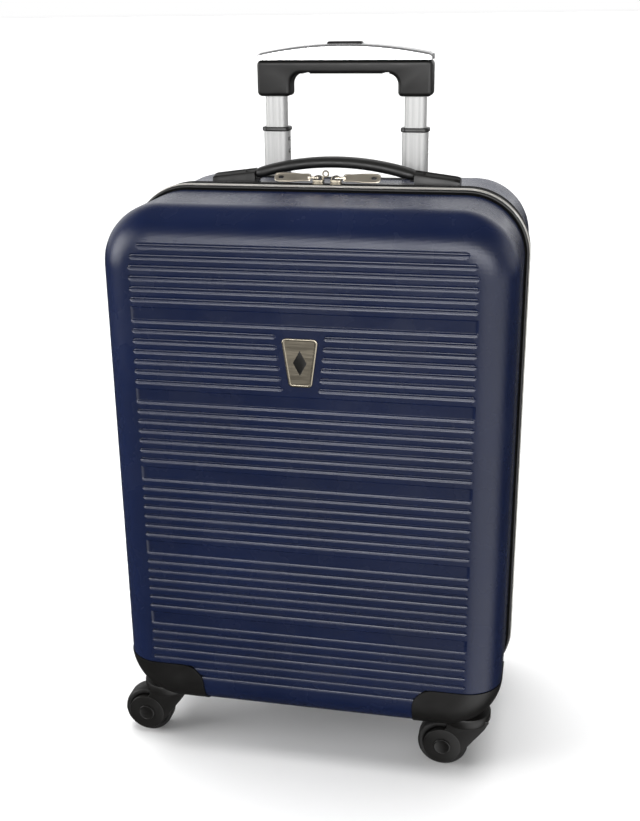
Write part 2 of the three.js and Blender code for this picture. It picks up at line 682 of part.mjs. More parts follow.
// The silver cover's top is one long arc from end to end
function gripCover() {
  const bottom = GRIP_SPLIT + GAP;
  const endTop = bottom + COVER_END_HEIGHT;
  const rise = COVER_TOP - endTop;
  const half = GRIP_HALF_WIDTH - COVER_INSET;
  const arcRadius = (half * half + rise * rise) / (2 * rise);
  const halfAngle = Math.asin(half / arcRadius);
  const outline = new THREE.Shape();
  outline.moveTo(-half, bottom);
  outline.lineTo(half, bottom);
  outline.absarc(0, COVER_TOP - arcRadius, arcRadius, Math.PI / 2 - halfAngle, Math.PI / 2 + halfAngle);
  const [front, back] = [TUBE_Y - COVER_HALF_DEPTH, TUBE_Y + COVER_HALF_DEPTH];
  const body = solidOf(alongY(outline, front, back, COVER_BEVEL, 2, 7));
  const slotX = BUTTON_HALF_WIDTH + BUTTON_PLAY;
  const slotY = BUTTON_HALF_DEPTH + BUTTON_PLAY;
  const slot = boxSolid(-slotX, slotX, TUBE_Y - slotY, TUBE_Y + slotY, bottom - 1, COVER_TOP + 1);
  return geometryOf(cut(body, slot));
}

function releaseButton() {
  const [left, right] = [-BUTTON_HALF_WIDTH, BUTTON_HALF_WIDTH];
  const outline = roundedRect(left, right, YOKE_TOP + GAP, BUTTON_TOP, BUTTON_CORNER);
  return alongY(outline, TUBE_Y - BUTTON_HALF_DEPTH, TUBE_Y + BUTTON_HALF_DEPTH, BUTTON_BEVEL);
}

function releaseYoke() {
  const [left, right] = [-YOKE_HALF_LENGTH, YOKE_HALF_LENGTH];
  const outline = roundedRect(left, right, YOKE_TOP - YOKE_HEIGHT, YOKE_TOP, YOKE_CORNER);
  return alongY(outline, TUBE_Y - YOKE_HALF_DEPTH, TUBE_Y + YOKE_HALF_DEPTH);
}

function releaseRod() {
  const bottom = UPPER_TUBE.bottom + RELEASE_ROD_START;
  const top = YOKE_TOP - YOKE_HEIGHT - GAP;
  const geometry = new THREE.CylinderGeometry(RELEASE_ROD_RADIUS, RELEASE_ROD_RADIUS, top - bottom, 10);
  geometry.rotateX(Math.PI / 2);
  geometry.translate(0, 0, (bottom + top) / 2);
  return geometry;
}

// The bezel is a cap over the rear shell's top edge with a deep bay in it
function handleBezel() {
  const outside = caseVolume(HOUSING_PROUD, REAR_EDGE_RADIUS);
  const cap = cut(outside.intersect(bezelRegion(0)), caseVolume(-FLANGE_INSET, REAR_EDGE_RADIUS));
  const wallX = BAY_HALF_WIDTH + BAY_WALL;
  const wallY = BAY_HALF_DEPTH + BAY_WALL;
  const floor = BAY_FLOOR - BAY_WALL;
  const trough = boxSolid(-wallX, wallX, TUBE_Y - wallY, TUBE_Y + wallY, floor, TOP + 2).intersect(outside);
  const [bayFront, bayBack] = [TUBE_Y - BAY_HALF_DEPTH, TUBE_Y + BAY_HALF_DEPTH];
  const bayPlan = roundedRect(-BAY_HALF_WIDTH, BAY_HALF_WIDTH, bayFront, bayBack, BAY_CORNER);
  const bay = solidOf(alongZ(bayPlan, BAY_FLOOR, TOP + 20));
  const holes = [-TUBE_X, TUBE_X].map((x) => (
    solidOf(alongZ(tubeOutline(LOWER_TUBE, x, BAY_TUBE_PLAY), floor - BAY_WALL, TOP))
  ));
  return geometryOf(cut(join(cap, trough), bay, ...holes));
}

// The bracket on the floor of the rear half that holds the feet of the outer tubes
function tubeBracket() {
  const halfWidth = TUBE_X + OUTER_TUBE.width / 2 + BRACKET_MARGIN;
  const [front, back] = [TUBE_Y - BRACKET_HALF_DEPTH, TUBE_Y + BRACKET_HALF_DEPTH];
  const outline = roundedRect(-halfWidth, halfWidth, front, back, BRACKET_CORNER);
  const block = solidOf(alongZ(outline, BOTTOM, OUTER_TUBE.bottom - GAP));
  return geometryOf(block.intersect(caseVolume(-WALL - GAP, REAR_EDGE_RADIUS)));
}

// ---------------------------------------------------------------- carry handle

function carryMount(side) {
  const inner = side * (CARRY_GRIP_HALF_LENGTH + CARRY_JOINT);
  const outer = side * CARRY_MOUNT_END_X;
  const floor = TOP + GAP;
  const innerTop = CARRY_GRIP_TOP - CARRY_GRIP_RISE + MOUNT_INNER_RISE;
  const profile = polygon([
    [inner, floor],
    [outer, floor],
    [outer - side * MOUNT_OUTER_LEAN, floor + MOUNT_OUTER_HEIGHT],
    [inner, innerTop],
  ]);
  const front = CARRY_Y - CARRY_GRIP_HALF_DEPTH;
  const back = CARRY_Y + CARRY_GRIP_HALF_DEPTH;
  const body = solidOf(alongY(profile, front, back, MOUNT_BEVEL, 1));
  const [x0, x1] = span(inner - side, inner + side * SOCKET_DEPTH);
  const [y0, y1] = [CARRY_Y - SOCKET_HALF_WIDTH, CARRY_Y + SOCKET_HALF_WIDTH];
  const socket = boxSolid(x0, x1, y0, y1, SOCKET_BOTTOM, SOCKET_TOP);
  return geometryOf(cut(body, socket));
}

// An arched bar: two long arcs, one above the other, with a tab at each end
function carryGrip() {
  const half = CARRY_GRIP_HALF_LENGTH;
  const arcRadius = (half * half + CARRY_GRIP_RISE * CARRY_GRIP_RISE) / (2 * CARRY_GRIP_RISE);
  const halfAngle = Math.asin(half / arcRadius);
  const centreZ = CARRY_GRIP_TOP - arcRadius;
  const outline = new THREE.Shape();
  outline.absarc(0, centreZ, arcRadius, Math.PI / 2 - halfAngle, Math.PI / 2 + halfAngle);
  const underside = centreZ - CARRY_GRIP_THICKNESS;
  outline.absarc(0, underside, arcRadius, Math.PI / 2 + halfAngle, Math.PI / 2 - halfAngle, true);
  const front = CARRY_Y - CARRY_GRIP_HALF_DEPTH;
  const back = CARRY_Y + CARRY_GRIP_HALF_DEPTH;
  const bar = solidOf(alongY(outline, front, back, CARRY_GRIP_BEVEL, 2, 6));
  const tabBottom = SOCKET_BOTTOM + GAP;
  const tabTop = SOCKET_TOP - GAP - CARRY_LIFT;
  const tabs = [-1, 1].map((side) => {
    const [x0, x1] = span(side * (half - TAB_ROOT), side * (half + TAB_LENGTH));
    return boxSolid(x0, x1, CARRY_Y - TAB_HALF_WIDTH, CARRY_Y + TAB_HALF_WIDTH, tabBottom, tabTop);
  });
  return geometryOf(join(bar, ...tabs));
}

// ---------------------------------------------------------------- wheels

// A corner cover that follows the shell, with a round recess that the fork turns in
function wheelHousing(side, end) {
  const edgeRadius = end < 0 ? FRONT_EDGE_RADIUS : REAR_EDGE_RADIUS;
  const axis = [side * CASTER_X, end * CASTER_Y, 0];
  const outside = caseVolume(HOUSING_PROUD, edgeRadius);
  const skin = outside.intersect(cornerRegion(side, end, 0));
  const flange = caseVolume(-WALL - GAP, edgeRadius).intersect(cornerRegion(side, end, FLANGE_LAP));
  const keptEnd = end < 0 ? slabY(-2 * HALF_DEPTH, 0) : slabY(0, 2 * HALF_DEPTH);
  const cover = cut(join(skin, flange), caseVolume(-FLANGE_INSET, edgeRadius)).intersect(keptEnd);
  const domeTop = CROWN_TOP + DOME_ROOF;
  const dome = rodSolid('z', RECESS_RADIUS + DOME_WALL, 0, domeTop, axis, 24).intersect(outside);
  const post = rodSolid('z', KINGPIN_RADIUS + BOSS_WALL, CROWN_TOP + RECESS_PLAY, BOSS_TOP, axis, 12);
  const recess = rodSolid('z', RECESS_RADIUS, 0, CROWN_TOP + RECESS_PLAY, axis, 24);
  const pinHole = rodSolid('z', KINGPIN_RADIUS + GAP, 0, BOSS_TOP + 1, axis, 12);
  return geometryOf(cut(join(cover, dome, post), recess, pinHole));
}

// The fork is drawn about its swivel axis, with the wheel trailing towards -X
function casterFork() {
  const shoulder = CROWN_RADIUS - CROWN_SHOULDER;
  const crownProfile = [
    [0, CROWN_BOTTOM],
    [shoulder, CROWN_BOTTOM],
    [CROWN_RADIUS, CROWN_BOTTOM + CROWN_FOOT],
    [CROWN_RADIUS, CROWN_TOP - CROWN_SHOULDER],
    [shoulder, CROWN_TOP],
    [0, CROWN_TOP],
  ];
  const crownGeometry = turned(crownProfile, 20);
  crownGeometry.rotateX(Math.PI / 2);
  const cheeks = [-1, 1].flatMap((end) => {
    const [y0, y1] = span(end * (FORK_HALF_WIDTH - CHEEK_THICKNESS), end * FORK_HALF_WIDTH);
    const armSolid = solidOf(alongY(polygon(FORK_ARM), y0, y1));
    const disc = rodSolid('y', CHEEK_DISC_RADIUS, y0, y1, [-WHEEL_TRAIL, 0, WHEEL_RADIUS], 24);
    return [armSolid, disc];
  });
  const across = FORK_HALF_WIDTH + 1;
  const axleHole = rodSolid('y', AXLE_RADIUS + GAP, -across, across, [-WHEEL_TRAIL, 0, WHEEL_RADIUS], 12);
  const pinHole = rodSolid('z', KINGPIN_RADIUS + GAP, 0, CROWN_TOP + 1, [0, 0, 0], 12);
  return geometryOf(cut(join(solidOf(crownGeometry), ...cheeks), axleHole, pinHole));
}

function casterWheel() {
  const half = WHEEL_WIDTH / 2;
  const bore = AXLE_RADIUS + GAP;
  return turned([
    [bore, -half],
    [WHEEL_RADIUS - WHEEL_SHOULDER, -half],
    [WHEEL_RADIUS, -half + WHEEL_SHOULDER],
    [WHEEL_RADIUS, half - WHEEL_SHOULDER],
    [WHEEL_RADIUS - WHEEL_SHOULDER, half],
    [bore, half],
    [bore, -half],
  ], 28);
}

// The axle's two ends are wide caps that close over the fork's cheeks
function casterAxle() {
  const inside = FORK_HALF_WIDTH + GAP;
  const outside = inside + AXLE_CAP.thickness;
  return turned([
    [0, -outside],
    [AXLE_CAP.radius, -outside],
    [AXLE_CAP.radius, -inside],
    [AXLE_RADIUS, -inside],
    [AXLE_RADIUS, inside],
    [AXLE_CAP.radius, inside],
    [AXLE_CAP.radius, outside],
    [0, outside],
  ], 16);
}

// The kingpin hangs the fork on the housing's boss, with a head at each end
function kingpin() {
  const lowerHead = CROWN_BOTTOM - GAP;
  const upperHead = BOSS_TOP + GAP;
  const geometry = turned([
    [0, lowerHead - KINGPIN_HEAD.lower],
    [KINGPIN_HEAD.radius, lowerHead - KINGPIN_HEAD.lower],
    [KINGPIN_HEAD.radius, lowerHead],
    [KINGPIN_RADIUS, lowerHead],
    [KINGPIN_RADIUS, upperHead],
    [KINGPIN_HEAD.radius, upperHead],
    [KINGPIN_HEAD.radius, upperHead + KINGPIN_HEAD.upper],
    [0, upperHead + KINGPIN_HEAD.upper],
  ], 12);
  geometry.rotateX(Math.PI / 2);
  return geometry;
}

// ---------------------------------------------------------------- assembly

const suitcase = new THREE.Group();
suitcase.position.x = FOOTPRINT_SHIFT;

function add(name, geometry, material, parent = suitcase) {
  const mesh = new THREE.Mesh(geometry, material);
  mesh.name = name;
  parent.add(mesh);
  return mesh;
}

function addCaster(prefix, side, end, heading) {
  add(`${prefix}_wheel_housing`, wheelHousing(side, end), BLACK_PLASTIC());
  const swivel = new THREE.Group();
  swivel.position.set(side * CASTER_X, end * CASTER_Y, 0);
  swivel.rotation.z = heading;
  suitcase.add(swivel);
  add(`${prefix}_kingpin`, kingpin(), STEEL(), swivel);
  add(`${prefix}_fork`, casterFork(), BLACK_PLASTIC(), swivel);
  const hub = new THREE.Group();
  hub.position.set(-WHEEL_TRAIL, 0, WHEEL_RADIUS);
  swivel.add(hub);
  add(`${prefix}_axle`, casterAxle(), BLACK_PLASTIC(), hub);
  add(`${prefix}_wheel`, casterWheel(), BLACK_RUBBER(), hub);
}

function addPull(name, side) {
  const pull = add(name, zipPull(side), PEWTER());
  pull.position.set(side * SLIDER_X, ZIP_Y, PULL_PIN_Z);
}

add('front_shell', frontShell(), NAVY_SHELL());
add('rear_shell', rearShell(), NAVY_SHELL());
add('badge', badge(), PEWTER());
add('front_lining', frontLining(), LINING());
add('rear_lining', rearLining(), LINING());
add('hinge_gusset', hingeGusset(), LINING());
add('left_packing_strap', packingStrap(-1), STRAP());
add('right_packing_strap', packingStrap(1), STRAP());
add('packing_buckle', packingBuckle(), BLACK_PLASTIC());

add('front_zip_tape', zipTape(FRONT_RIM_Y + GAP, ZIP_Y - ZIP_PART), ZIP_FABRIC());
add('rear_zip_tape', zipTape(ZIP_Y + ZIP_PART, REAR_RIM_Y - GAP), ZIP_FABRIC());
add('front_welt', trimBand(WELT), BLACK_RUBBER());
add('front_piping', trimBand(FRONT_PIPING), GREY_PIPING());
add('rear_piping', trimBand(REAR_PIPING), GREY_PIPING());
add('front_zip_coil', zipCoil(ZIP_Y - ZIP_PART - COIL.width), ZIP_COIL());
add('rear_zip_coil', zipCoil(ZIP_Y + ZIP_PART), ZIP_COIL());
add('left_slider', slider(-1), PEWTER());
add('right_slider', slider(1), PEWTER());
addPull('left_pull', -1);
addPull('right_pull', 1);

for (const [side, x] of [['left', -TUBE_X], ['right', TUBE_X]]) {
  add(`${side}_outer_tube`, tube(OUTER_TUBE, x), ALUMINIUM());
  add(`${side}_lower_tube`, lowerTube(x), ALUMINIUM());
  add(`${side}_collar`, collar(x), BLACK_PLASTIC());
  add(`${side}_upper_tube`, tube(UPPER_TUBE, x), ALUMINIUM());
  const rod = add(`${side}_release_rod`, releaseRod(), STEEL());
  rod.position.set(x, TUBE_Y, 0);
}
add('trolley_grip', trolleyGrip(), BLACK_PLASTIC());
add('grip_cover', gripCover(), SILVER_PLASTIC());
add('release_button', releaseButton(), BLACK_PLASTIC());
add('release_yoke', releaseYoke(), BLACK_PLASTIC());
add('handle_bezel', handleBezel(), BLACK_PLASTIC());
add('tube_bracket', tubeBracket(), BLACK_PLASTIC());

add('left_carry_mount', carryMount(-1), BLACK_PLASTIC());
add('right_carry_mount', carryMount(1), BLACK_PLASTIC());
add('carry_grip', carryGrip(), BLACK_RUBBER());

addCaster('front_left', -1, -1, 0);
addCaster('front_right', 1, -1, 0);
addCaster('rear_left', -1, 1, Math.PI / 2);
addCaster('rear_right', 1, 1, Math.PI / 2);

export default suitcase;
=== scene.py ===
"""The looks of a hard shell cabin suitcase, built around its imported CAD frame. Metres, +Z up, front on -Y."""

import math

import bmesh
import bpy
from mathutils import Matrix, Vector


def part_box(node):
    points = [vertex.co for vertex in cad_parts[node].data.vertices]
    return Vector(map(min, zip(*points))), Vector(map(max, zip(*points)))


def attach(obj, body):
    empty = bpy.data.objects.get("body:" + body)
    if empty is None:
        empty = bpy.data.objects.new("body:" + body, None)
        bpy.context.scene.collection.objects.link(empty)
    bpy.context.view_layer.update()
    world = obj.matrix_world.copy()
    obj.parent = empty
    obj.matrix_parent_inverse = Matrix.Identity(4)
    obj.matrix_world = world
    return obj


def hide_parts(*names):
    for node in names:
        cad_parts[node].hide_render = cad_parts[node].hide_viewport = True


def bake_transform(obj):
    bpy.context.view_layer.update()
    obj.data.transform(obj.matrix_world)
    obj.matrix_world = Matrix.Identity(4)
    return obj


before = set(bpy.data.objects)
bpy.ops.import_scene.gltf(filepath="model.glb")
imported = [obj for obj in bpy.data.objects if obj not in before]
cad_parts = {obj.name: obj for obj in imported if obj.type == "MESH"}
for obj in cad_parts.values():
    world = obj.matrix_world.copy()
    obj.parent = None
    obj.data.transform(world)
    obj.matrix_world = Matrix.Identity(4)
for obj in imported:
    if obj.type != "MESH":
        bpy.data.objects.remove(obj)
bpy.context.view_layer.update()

MM = 0.001
FULL_TURN = 2 * math.pi
QUARTER = math.pi / 2
X, Y, Z = 0, 1, 2
SIDES = (-1, 1)


class Box:
    """A CAD node's box at rest: its low and high corners, its middle and its half sizes."""

    def __init__(self, node):
        self.low, self.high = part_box(node)
        self.x, self.y, self.z = [(low + high) / 2 for low, high in zip(self.low, self.high)]
        self.half_x, self.half_y, self.half_z = [(high - low) / 2 for low, high in zip(self.low, self.high)]


# ---------------------------------------------------------------- the case, from the CAD frame

FRONT = Box("front_shell")
REAR = Box("rear_shell")
CASE_X = FRONT.x
HALF_WIDTH = FRONT.half_x
CASE_BOTTOM = FRONT.low.z
CASE_TOP = FRONT.high.z

# The same dimensions as the CAD source's, where a box can't give them
CORNER_RADIUS = 53 * MM
FRONT_EDGE = 33 * MM
REAR_EDGE = 20 * MM
WALL = 2.5 * MM
GAP = 0.3 * MM

# (face, rim, radius of the face's edge) of the front half, on -Y, and of the rear half, on +Y
HALVES = {-1: (FRONT.low.y, FRONT.high.y, FRONT_EDGE), 1: (REAR.high.y, REAR.low.y, REAR_EDGE)}


def outline_parts():
    """The case's outline from the front: straight runs and corners, anticlockwise from the right side."""
    half_height = FRONT.half_z
    flat_x = HALF_WIDTH - CORNER_RADIUS
    flat_z = half_height - CORNER_RADIUS
    runs = [
        (2 * flat_z, HALF_WIDTH, -flat_z, flat_x, flat_z),
        (2 * flat_x, flat_x, half_height, -flat_x, flat_z),
        (2 * flat_z, -HALF_WIDTH, flat_z, -flat_x, -flat_z),
        (2 * flat_x, -flat_x, -half_height, flat_x, -flat_z),
    ]
    parts = []
    for number, (length, start_x, start_z, corner_x, corner_z) in enumerate(runs):
        angle = number * QUARTER
        parts.append(("line", length, start_x + CASE_X, start_z + FRONT.z, angle))
        parts.append(("arc", CORNER_RADIUS * QUARTER, corner_x + CASE_X, corner_z + FRONT.z, angle))
    return parts


OUTLINE = outline_parts()
PERIMETER = sum(part[1] for part in OUTLINE)


def outline_at(distance):
    """(point x, point z, outward normal x, outward normal z) at a distance round the case's outline."""
    left = distance % PERIMETER
    for kind, length, x, z, angle in OUTLINE:
        if left <= length:
            if kind == "line":
                cosine, sine = math.cos(angle), math.sin(angle)
                return x - sine * left, z + cosine * left, cosine, sine
            turn = angle + left / CORNER_RADIUS
            normal_x, normal_z = math.cos(turn), math.sin(turn)
            return x + CORNER_RADIUS * normal_x, z + CORNER_RADIUS * normal_z, normal_x, normal_z
        left -= length
    return outline_at(0.0)


def coarse_stations(arc_steps=20, line_steps=4):
    """Distances round the outline that are close together on its corners only."""
    stations = []
    start = 0.0
    for kind, length, _x, _z, _angle in OUTLINE:
        steps = arc_steps if kind == "arc" else line_steps
        stations += [start + length * step / steps for step in range(steps)]
        start += length
    return stations


# ---------------------------------------------------------------- outlines


def angles(count):
    return [FULL_TURN * step / count for step in range(count)]


def corner_arc(centre_x, centre_y, radius, quarter, steps=6):
    """Points of a quarter circle, from the quarter's start."""
    points = []
    for step in range(steps + 1):
        turn = (quarter + step / steps) * math.pi / 2
        points.append((centre_x + radius * math.cos(turn), centre_y + radius * math.sin(turn)))
    return points


def rounded_rectangle(half_x, half_y, radius, corner_steps=5, centre=(0.0, 0.0)):
    points = []
    for quarter, (side_x, side_y) in enumerate([(1, 1), (-1, 1), (-1, -1), (1, -1)]):
        corner_x = centre[0] + side_x * (half_x - radius)
        corner_y = centre[1] + side_y * (half_y - radius)
        points += corner_arc(corner_x, corner_y, radius, quarter, corner_steps)
    return points


def round_section(outset, y, radius_out, radius_y, count=14):
    return [(outset + radius_out * math.cos(turn), y + radius_y * math.sin(turn)) for turn in angles(count)]


def squarish(turn, power_x, power_y):
    """A point of a unit circle that swells towards its square's corners as the powers fall below 1."""
    cosine, sine = math.cos(turn), math.sin(turn)
    return math.copysign(abs(cosine) ** power_x, cosine), math.copysign(abs(sine) ** power_y, sine)


def shifted(points, x, y):
    return [(x + px, y + py) for px, py in points]


def scaled(points, scale_x, scale_y=None):
    scale_y = scale_x if scale_y is None else scale_y
    return [(px * scale_x, py * scale_y) for px, py in points]


def mirrored(half):
    """A symmetric section from its right half, which starts at the middle."""
    return [(-px, py) for px, py in reversed(half[1:])] + half


def unit(x, z):
    length = math.hypot(x, z)
    return (x / length, z / length) if length > 0 else (0.0, 0.0)


def offset_outline(points, inset):
    """The same closed anticlockwise outline moved inward; repeated points stay repeated."""
    moved = []
    count = len(points)
    for index in range(count):
        before, here, after = points[index - 1], points[index], points[(index + 1) % count]
        first = unit(here[0] - before[0], here[1] - before[1])
        second = unit(after[0] - here[0], after[1] - here[1])
        nx, nz = -(first[1] + second[1]), first[0] + second[0]
        scale = inset * 2 / max(nx * nx + nz * nz, 0.5)
        moved.append((here[0] + nx * scale, here[1] + nz * scale))
    return moved


def resample(points, count):
    """The same closed outline with evenly spaced points."""
    loop = points + [points[0]]
    lengths = [math.dist(a, b) for a, b in zip(loop, loop[1:])]
    total = sum(lengths)
    result = []
    index, start = 0, 0.0
    for step in range(count):
        target = total * step / count
        while start + lengths[index] < target:
            start += lengths[index]
            index += 1
        share = (target - start) / lengths[index] if lengths[index] else 0.0
        a, b = loop[index], loop[index + 1]
        result.append((a[0] + (b[0] - a[0]) * share, a[1] + (b[1] - a[1]) * share))
    return result


def crown_drop(half, rise):
    """How far a circular crown has dropped at a distance from its middle, if it drops by rise at half."""
    radius = (half * half + rise * rise) / (2 * rise)
    return lambda along: radius - math.sqrt(radius * radius - along * along)


# ---------------------------------------------------------------- mesh helpers


def new_object(name, verts, faces, smooth_angle=30.0):
    mesh = bpy.data.meshes.new(name)
    mesh.from_pydata([tuple(v) for v in verts], [], [tuple(f) for f in faces])
    mesh.validate()
    obj = bpy.data.objects.new(name, mesh)
    bpy.context.scene.collection.objects.link(obj)
    edit = bmesh.new()
    edit.from_mesh(mesh)
    bmesh.ops.remove_doubles(edit, verts=edit.verts, dist=1e-7)
    bmesh.ops.recalc_face_normals(edit, faces=edit.faces)
    edit.to_mesh(mesh)
    edit.free()
    smooth(obj, smooth_angle)
    return obj


def smooth(obj, angle=30.0):
    obj.data.shade_smooth()
    obj.data.set_sharp_from_angle(angle=math.radians(angle))


def modified(obj, kind, **settings):
    """Replaces an object's mesh by what one modifier makes of it."""
    modifier = obj.modifiers.new(kind.lower(), kind)
    for key, value in settings.items():
        setattr(modifier, key, value)
    bpy.context.view_layer.update()
    depsgraph = bpy.context.evaluated_depsgraph_get()
    result = bpy.data.meshes.new_from_object(obj.evaluated_get(depsgraph))
    obj.modifiers.clear()
    old = obj.data
    obj.data = result
    bpy.data.meshes.remove(old)


def boolean(obj, tool, operation="DIFFERENCE"):
    modified(obj, "BOOLEAN", operation=operation, solver="EXACT", object=tool)
    mesh = tool.data
    bpy.data.objects.remove(tool)
    bpy.data.meshes.remove(mesh)
    return obj


def bevelled(obj, width, segments=3, angle=30.0, smooth_angle=40.0):
    modified(obj, "BEVEL", width=width, segments=segments, limit_method="ANGLE",
             angle_limit=math.radians(angle), harden_normals=False)
    smooth(obj, smooth_angle)
    return obj


def joined(name, objects):
    """One object out of several, keeping their materials."""
    target = objects[0]
    with bpy.context.temp_override(active_object=target, object=target, selected_editable_objects=objects):
        bpy.ops.object.join()
    target.name = name
    return target


def loft(name, loops, caps=True, smooth_angle=30.0):
    """A skin over equal loops of points; each loop is closed, and the first and last can have caps."""
    count = len(loops[0])
    verts = [point for loop in loops for point in loop]
    faces = []
    for row in range(len(loops) - 1):
        for col in range(count):
            a = row * count + col
            b = row * count + (col + 1) % count
            faces.append((a, b, b + count, a + count))
    if caps:
        last = (len(loops) - 1) * count
        faces.append(tuple(range(count))[::-1])
        faces.append(tuple(range(last, last + count)))
    return new_object(name, verts, faces, smooth_angle)


def sections(name, axis, stages, caps=True, smooth_angle=30.0, centre=(0.0, 0.0)):
    """A loft over flat sections: stages are (points on the other two axes, place along the axis)."""
    loops = []
    for points, place in stages:
        loops.append([(*point[:axis], place, *point[axis:]) for point in shifted(points, *centre)])
    return loft(name, loops, caps, smooth_angle)


def prism(name, axis, points, start, end):
    return sections(name, axis, [(points, start), (points, end)])


def case_loft(name, profile, outset=0.0):
    """A skin over (outset, y) loops, each running round the case."""
    outline = [outline_at(distance) for distance in coarse_stations()]
    loops = []
    for offset, y in profile:
        out = offset + outset
        loops.append([(x + nx * out, y, z + nz * out) for x, z, nx, nz in outline])
    return loft(name, loops)


def ring_sweep(name, stations, profile, smooth_angle=40.0):
    """A closed ring round the case: profile(station number) gives one closed section's (outset, y) points."""
    loops = []
    for number, distance in enumerate(stations):
        x, z, nx, nz = outline_at(distance)
        loops.append([(x + nx * outset, y, z + nz * outset) for outset, y in profile(number)])
    return loft(name, loops + loops[:1], False, smooth_angle)


def turned(name, profile, axis, centre, segments=64):
    """A turned piece: profile is a closed loop of (radius, station along the axis) points."""
    axis = Vector(axis).normalized()
    side = axis.orthogonal().normalized()
    other = axis.cross(side)
    loops = []
    for turn in angles(segments):
        out = side * math.cos(turn) + other * math.sin(turn)
        loops.append([Vector(centre) + out * radius + axis * station for radius, station in profile])
    return loft(name, loops + loops[:1], False)


def tube_along(name, path, half_sizes, side, count=12):
    """A bar along a path: half_sizes(share) gives its half height and half width; side is the width's way."""
    loops = []
    last = len(path) - 1
    across = Vector(side)
    for index, point in enumerate(path):
        tangent = (path[min(index + 1, last)] - path[max(index - 1, 0)]).normalized()
        up = tangent.cross(across).normalized()
        high, wide = half_sizes(index / last)
        ring = scaled([squarish(turn, 0.75, 0.75) for turn in angles(count)], wide, high)
        loops.append([point + across * px + up * py for px, py in ring])
    return loft(name, loops, smooth_angle=40.0)


def block(name, low, high, bevel=0.0, segments=3):
    corners = [(x, y, z) for x in (low[0], high[0]) for y in (low[1], high[1]) for z in (low[2], high[2])]
    faces = [(0, 1, 3, 2), (4, 6, 7, 5), (0, 4, 5, 1), (2, 3, 7, 6), (0, 2, 6, 4), (1, 5, 7, 3)]
    obj = new_object(name, corners, faces)
    return bevelled(obj, bevel, segments) if bevel else obj


# ---------------------------------------------------------------- material helpers


class Nodes:
    """A small writer for one node tree."""

    def __init__(self, tree):
        self.nodes = tree.nodes
        self.links = tree.links

    def put(self, socket, value):
        if isinstance(value, bpy.types.NodeSocket):
            self.links.new(value, socket)
        else:
            socket.default_value = value

    def add(self, kind, inputs=None, **settings):
        """A new node's outputs; inputs maps its sockets to values or to other nodes' outputs."""
        made = self.nodes.new(kind)
        for key, value in settings.items():
            setattr(made, key, value)
        for key, value in (inputs or {}).items():
            self.put(made.inputs[key], value)
        return made.outputs

    def math(self, operation, *values):
        return self.add("ShaderNodeMath", dict(enumerate(values)), operation=operation)[0]

    def ramp(self, factor, low, high, start=0.0, end=1.0, **settings):
        """Goes from low to high as the factor goes from start to end."""
        inputs = {"Value": factor, "From Min": start, "From Max": end, "To Min": low, "To Max": high}
        return self.add("ShaderNodeMapRange", inputs, **settings)["Result"]

    def axes(self, vector):
        return self.add("ShaderNodeSeparateXYZ", {0: vector})


class Surface(Nodes):
    """One procedural material."""

    def __init__(self, name, color, roughness, metallic=0.0, **sockets):
        self.material = bpy.data.materials.new(name)
        self.material.use_nodes = True
        super().__init__(self.material.node_tree)
        self.sockets = self.nodes["Principled BSDF"].inputs
        self.sockets["Base Color"].default_value = (*color, 1.0)
        self.sockets["Roughness"].default_value = roughness
        self.sockets["Metallic"].default_value = metallic
        for socket, value in sockets.items():
            self.sockets[socket.replace("_", " ")].default_value = value
        self.color = color
        self.roughness = roughness
        self.position = self.add("ShaderNodeTexCoord")["Object"]

    def noise(self, scale, detail=3.0, stretch=(1, 1, 1)):
        place = self.add("ShaderNodeMapping", {"Scale": stretch, "Vector": self.position})[0]
        return self.add("ShaderNodeTexNoise", {"Scale": scale, "Detail": detail, "Vector": place})["Fac"]

    def vary_color(self, factor, darker=0.8, lighter=1.2, start=0.3, end=0.7):
        """The base colour goes from a darker to a lighter shade of itself as the factor rises."""
        dark = (*[c * darker for c in self.color], 1.0)
        light = (*[min(1.0, c * lighter) for c in self.color], 1.0)
        mixed = self.add("ShaderNodeMix", data_type="RGBA", inputs={
            0: self.ramp(factor, 0.0, 1.0, start, end), 6: dark, 7: light})
        self.put(self.sockets["Base Color"], mixed[2])

    def vary_roughness(self, factor, spread=0.08):
        low = max(0.02, self.roughness - spread)
        high = min(1.0, self.roughness + spread)
        self.put(self.sockets["Roughness"], self.ramp(factor, low, high, 0.3, 0.7))

    def bump(self, height, distance, strength=1.0):
        inputs = {"Height": height, "Distance": distance, "Strength": strength}
        self.put(self.sockets["Normal"], self.add("ShaderNodeBump", inputs)[0])

    def wave(self, coordinate, pitch):
        """A sine of a coordinate, from -1 to 1, with the given pitch in metres."""
        return self.math("SINE", self.math("MULTIPLY", coordinate, FULL_TURN / pitch))

    def on_each_side(self, pattern):
        """pattern(first axis, second axis) laid on whichever plane the surface faces."""
        x, y, z = self.axes(self.position)
        normal = self.add("ShaderNodeTexCoord")["Normal"]
        facing_x, facing_y, facing_z = [self.math("ABSOLUTE", axis) for axis in self.axes(normal)]
        sides = [(facing_y, pattern(x, z)), (facing_x, pattern(y, z)), (facing_z, pattern(x, y))]
        total = None
        for facing, value in sides:
            part = self.math("MULTIPLY", self.ramp(facing, 0.0, 1.0, 0.6, 0.76), value)
            total = part if total is None else self.math("ADD", total, part)
        return total


EMBOSS_PITCH = 1.4 * MM
EMBOSS_DEPTH = 0.05 * MM


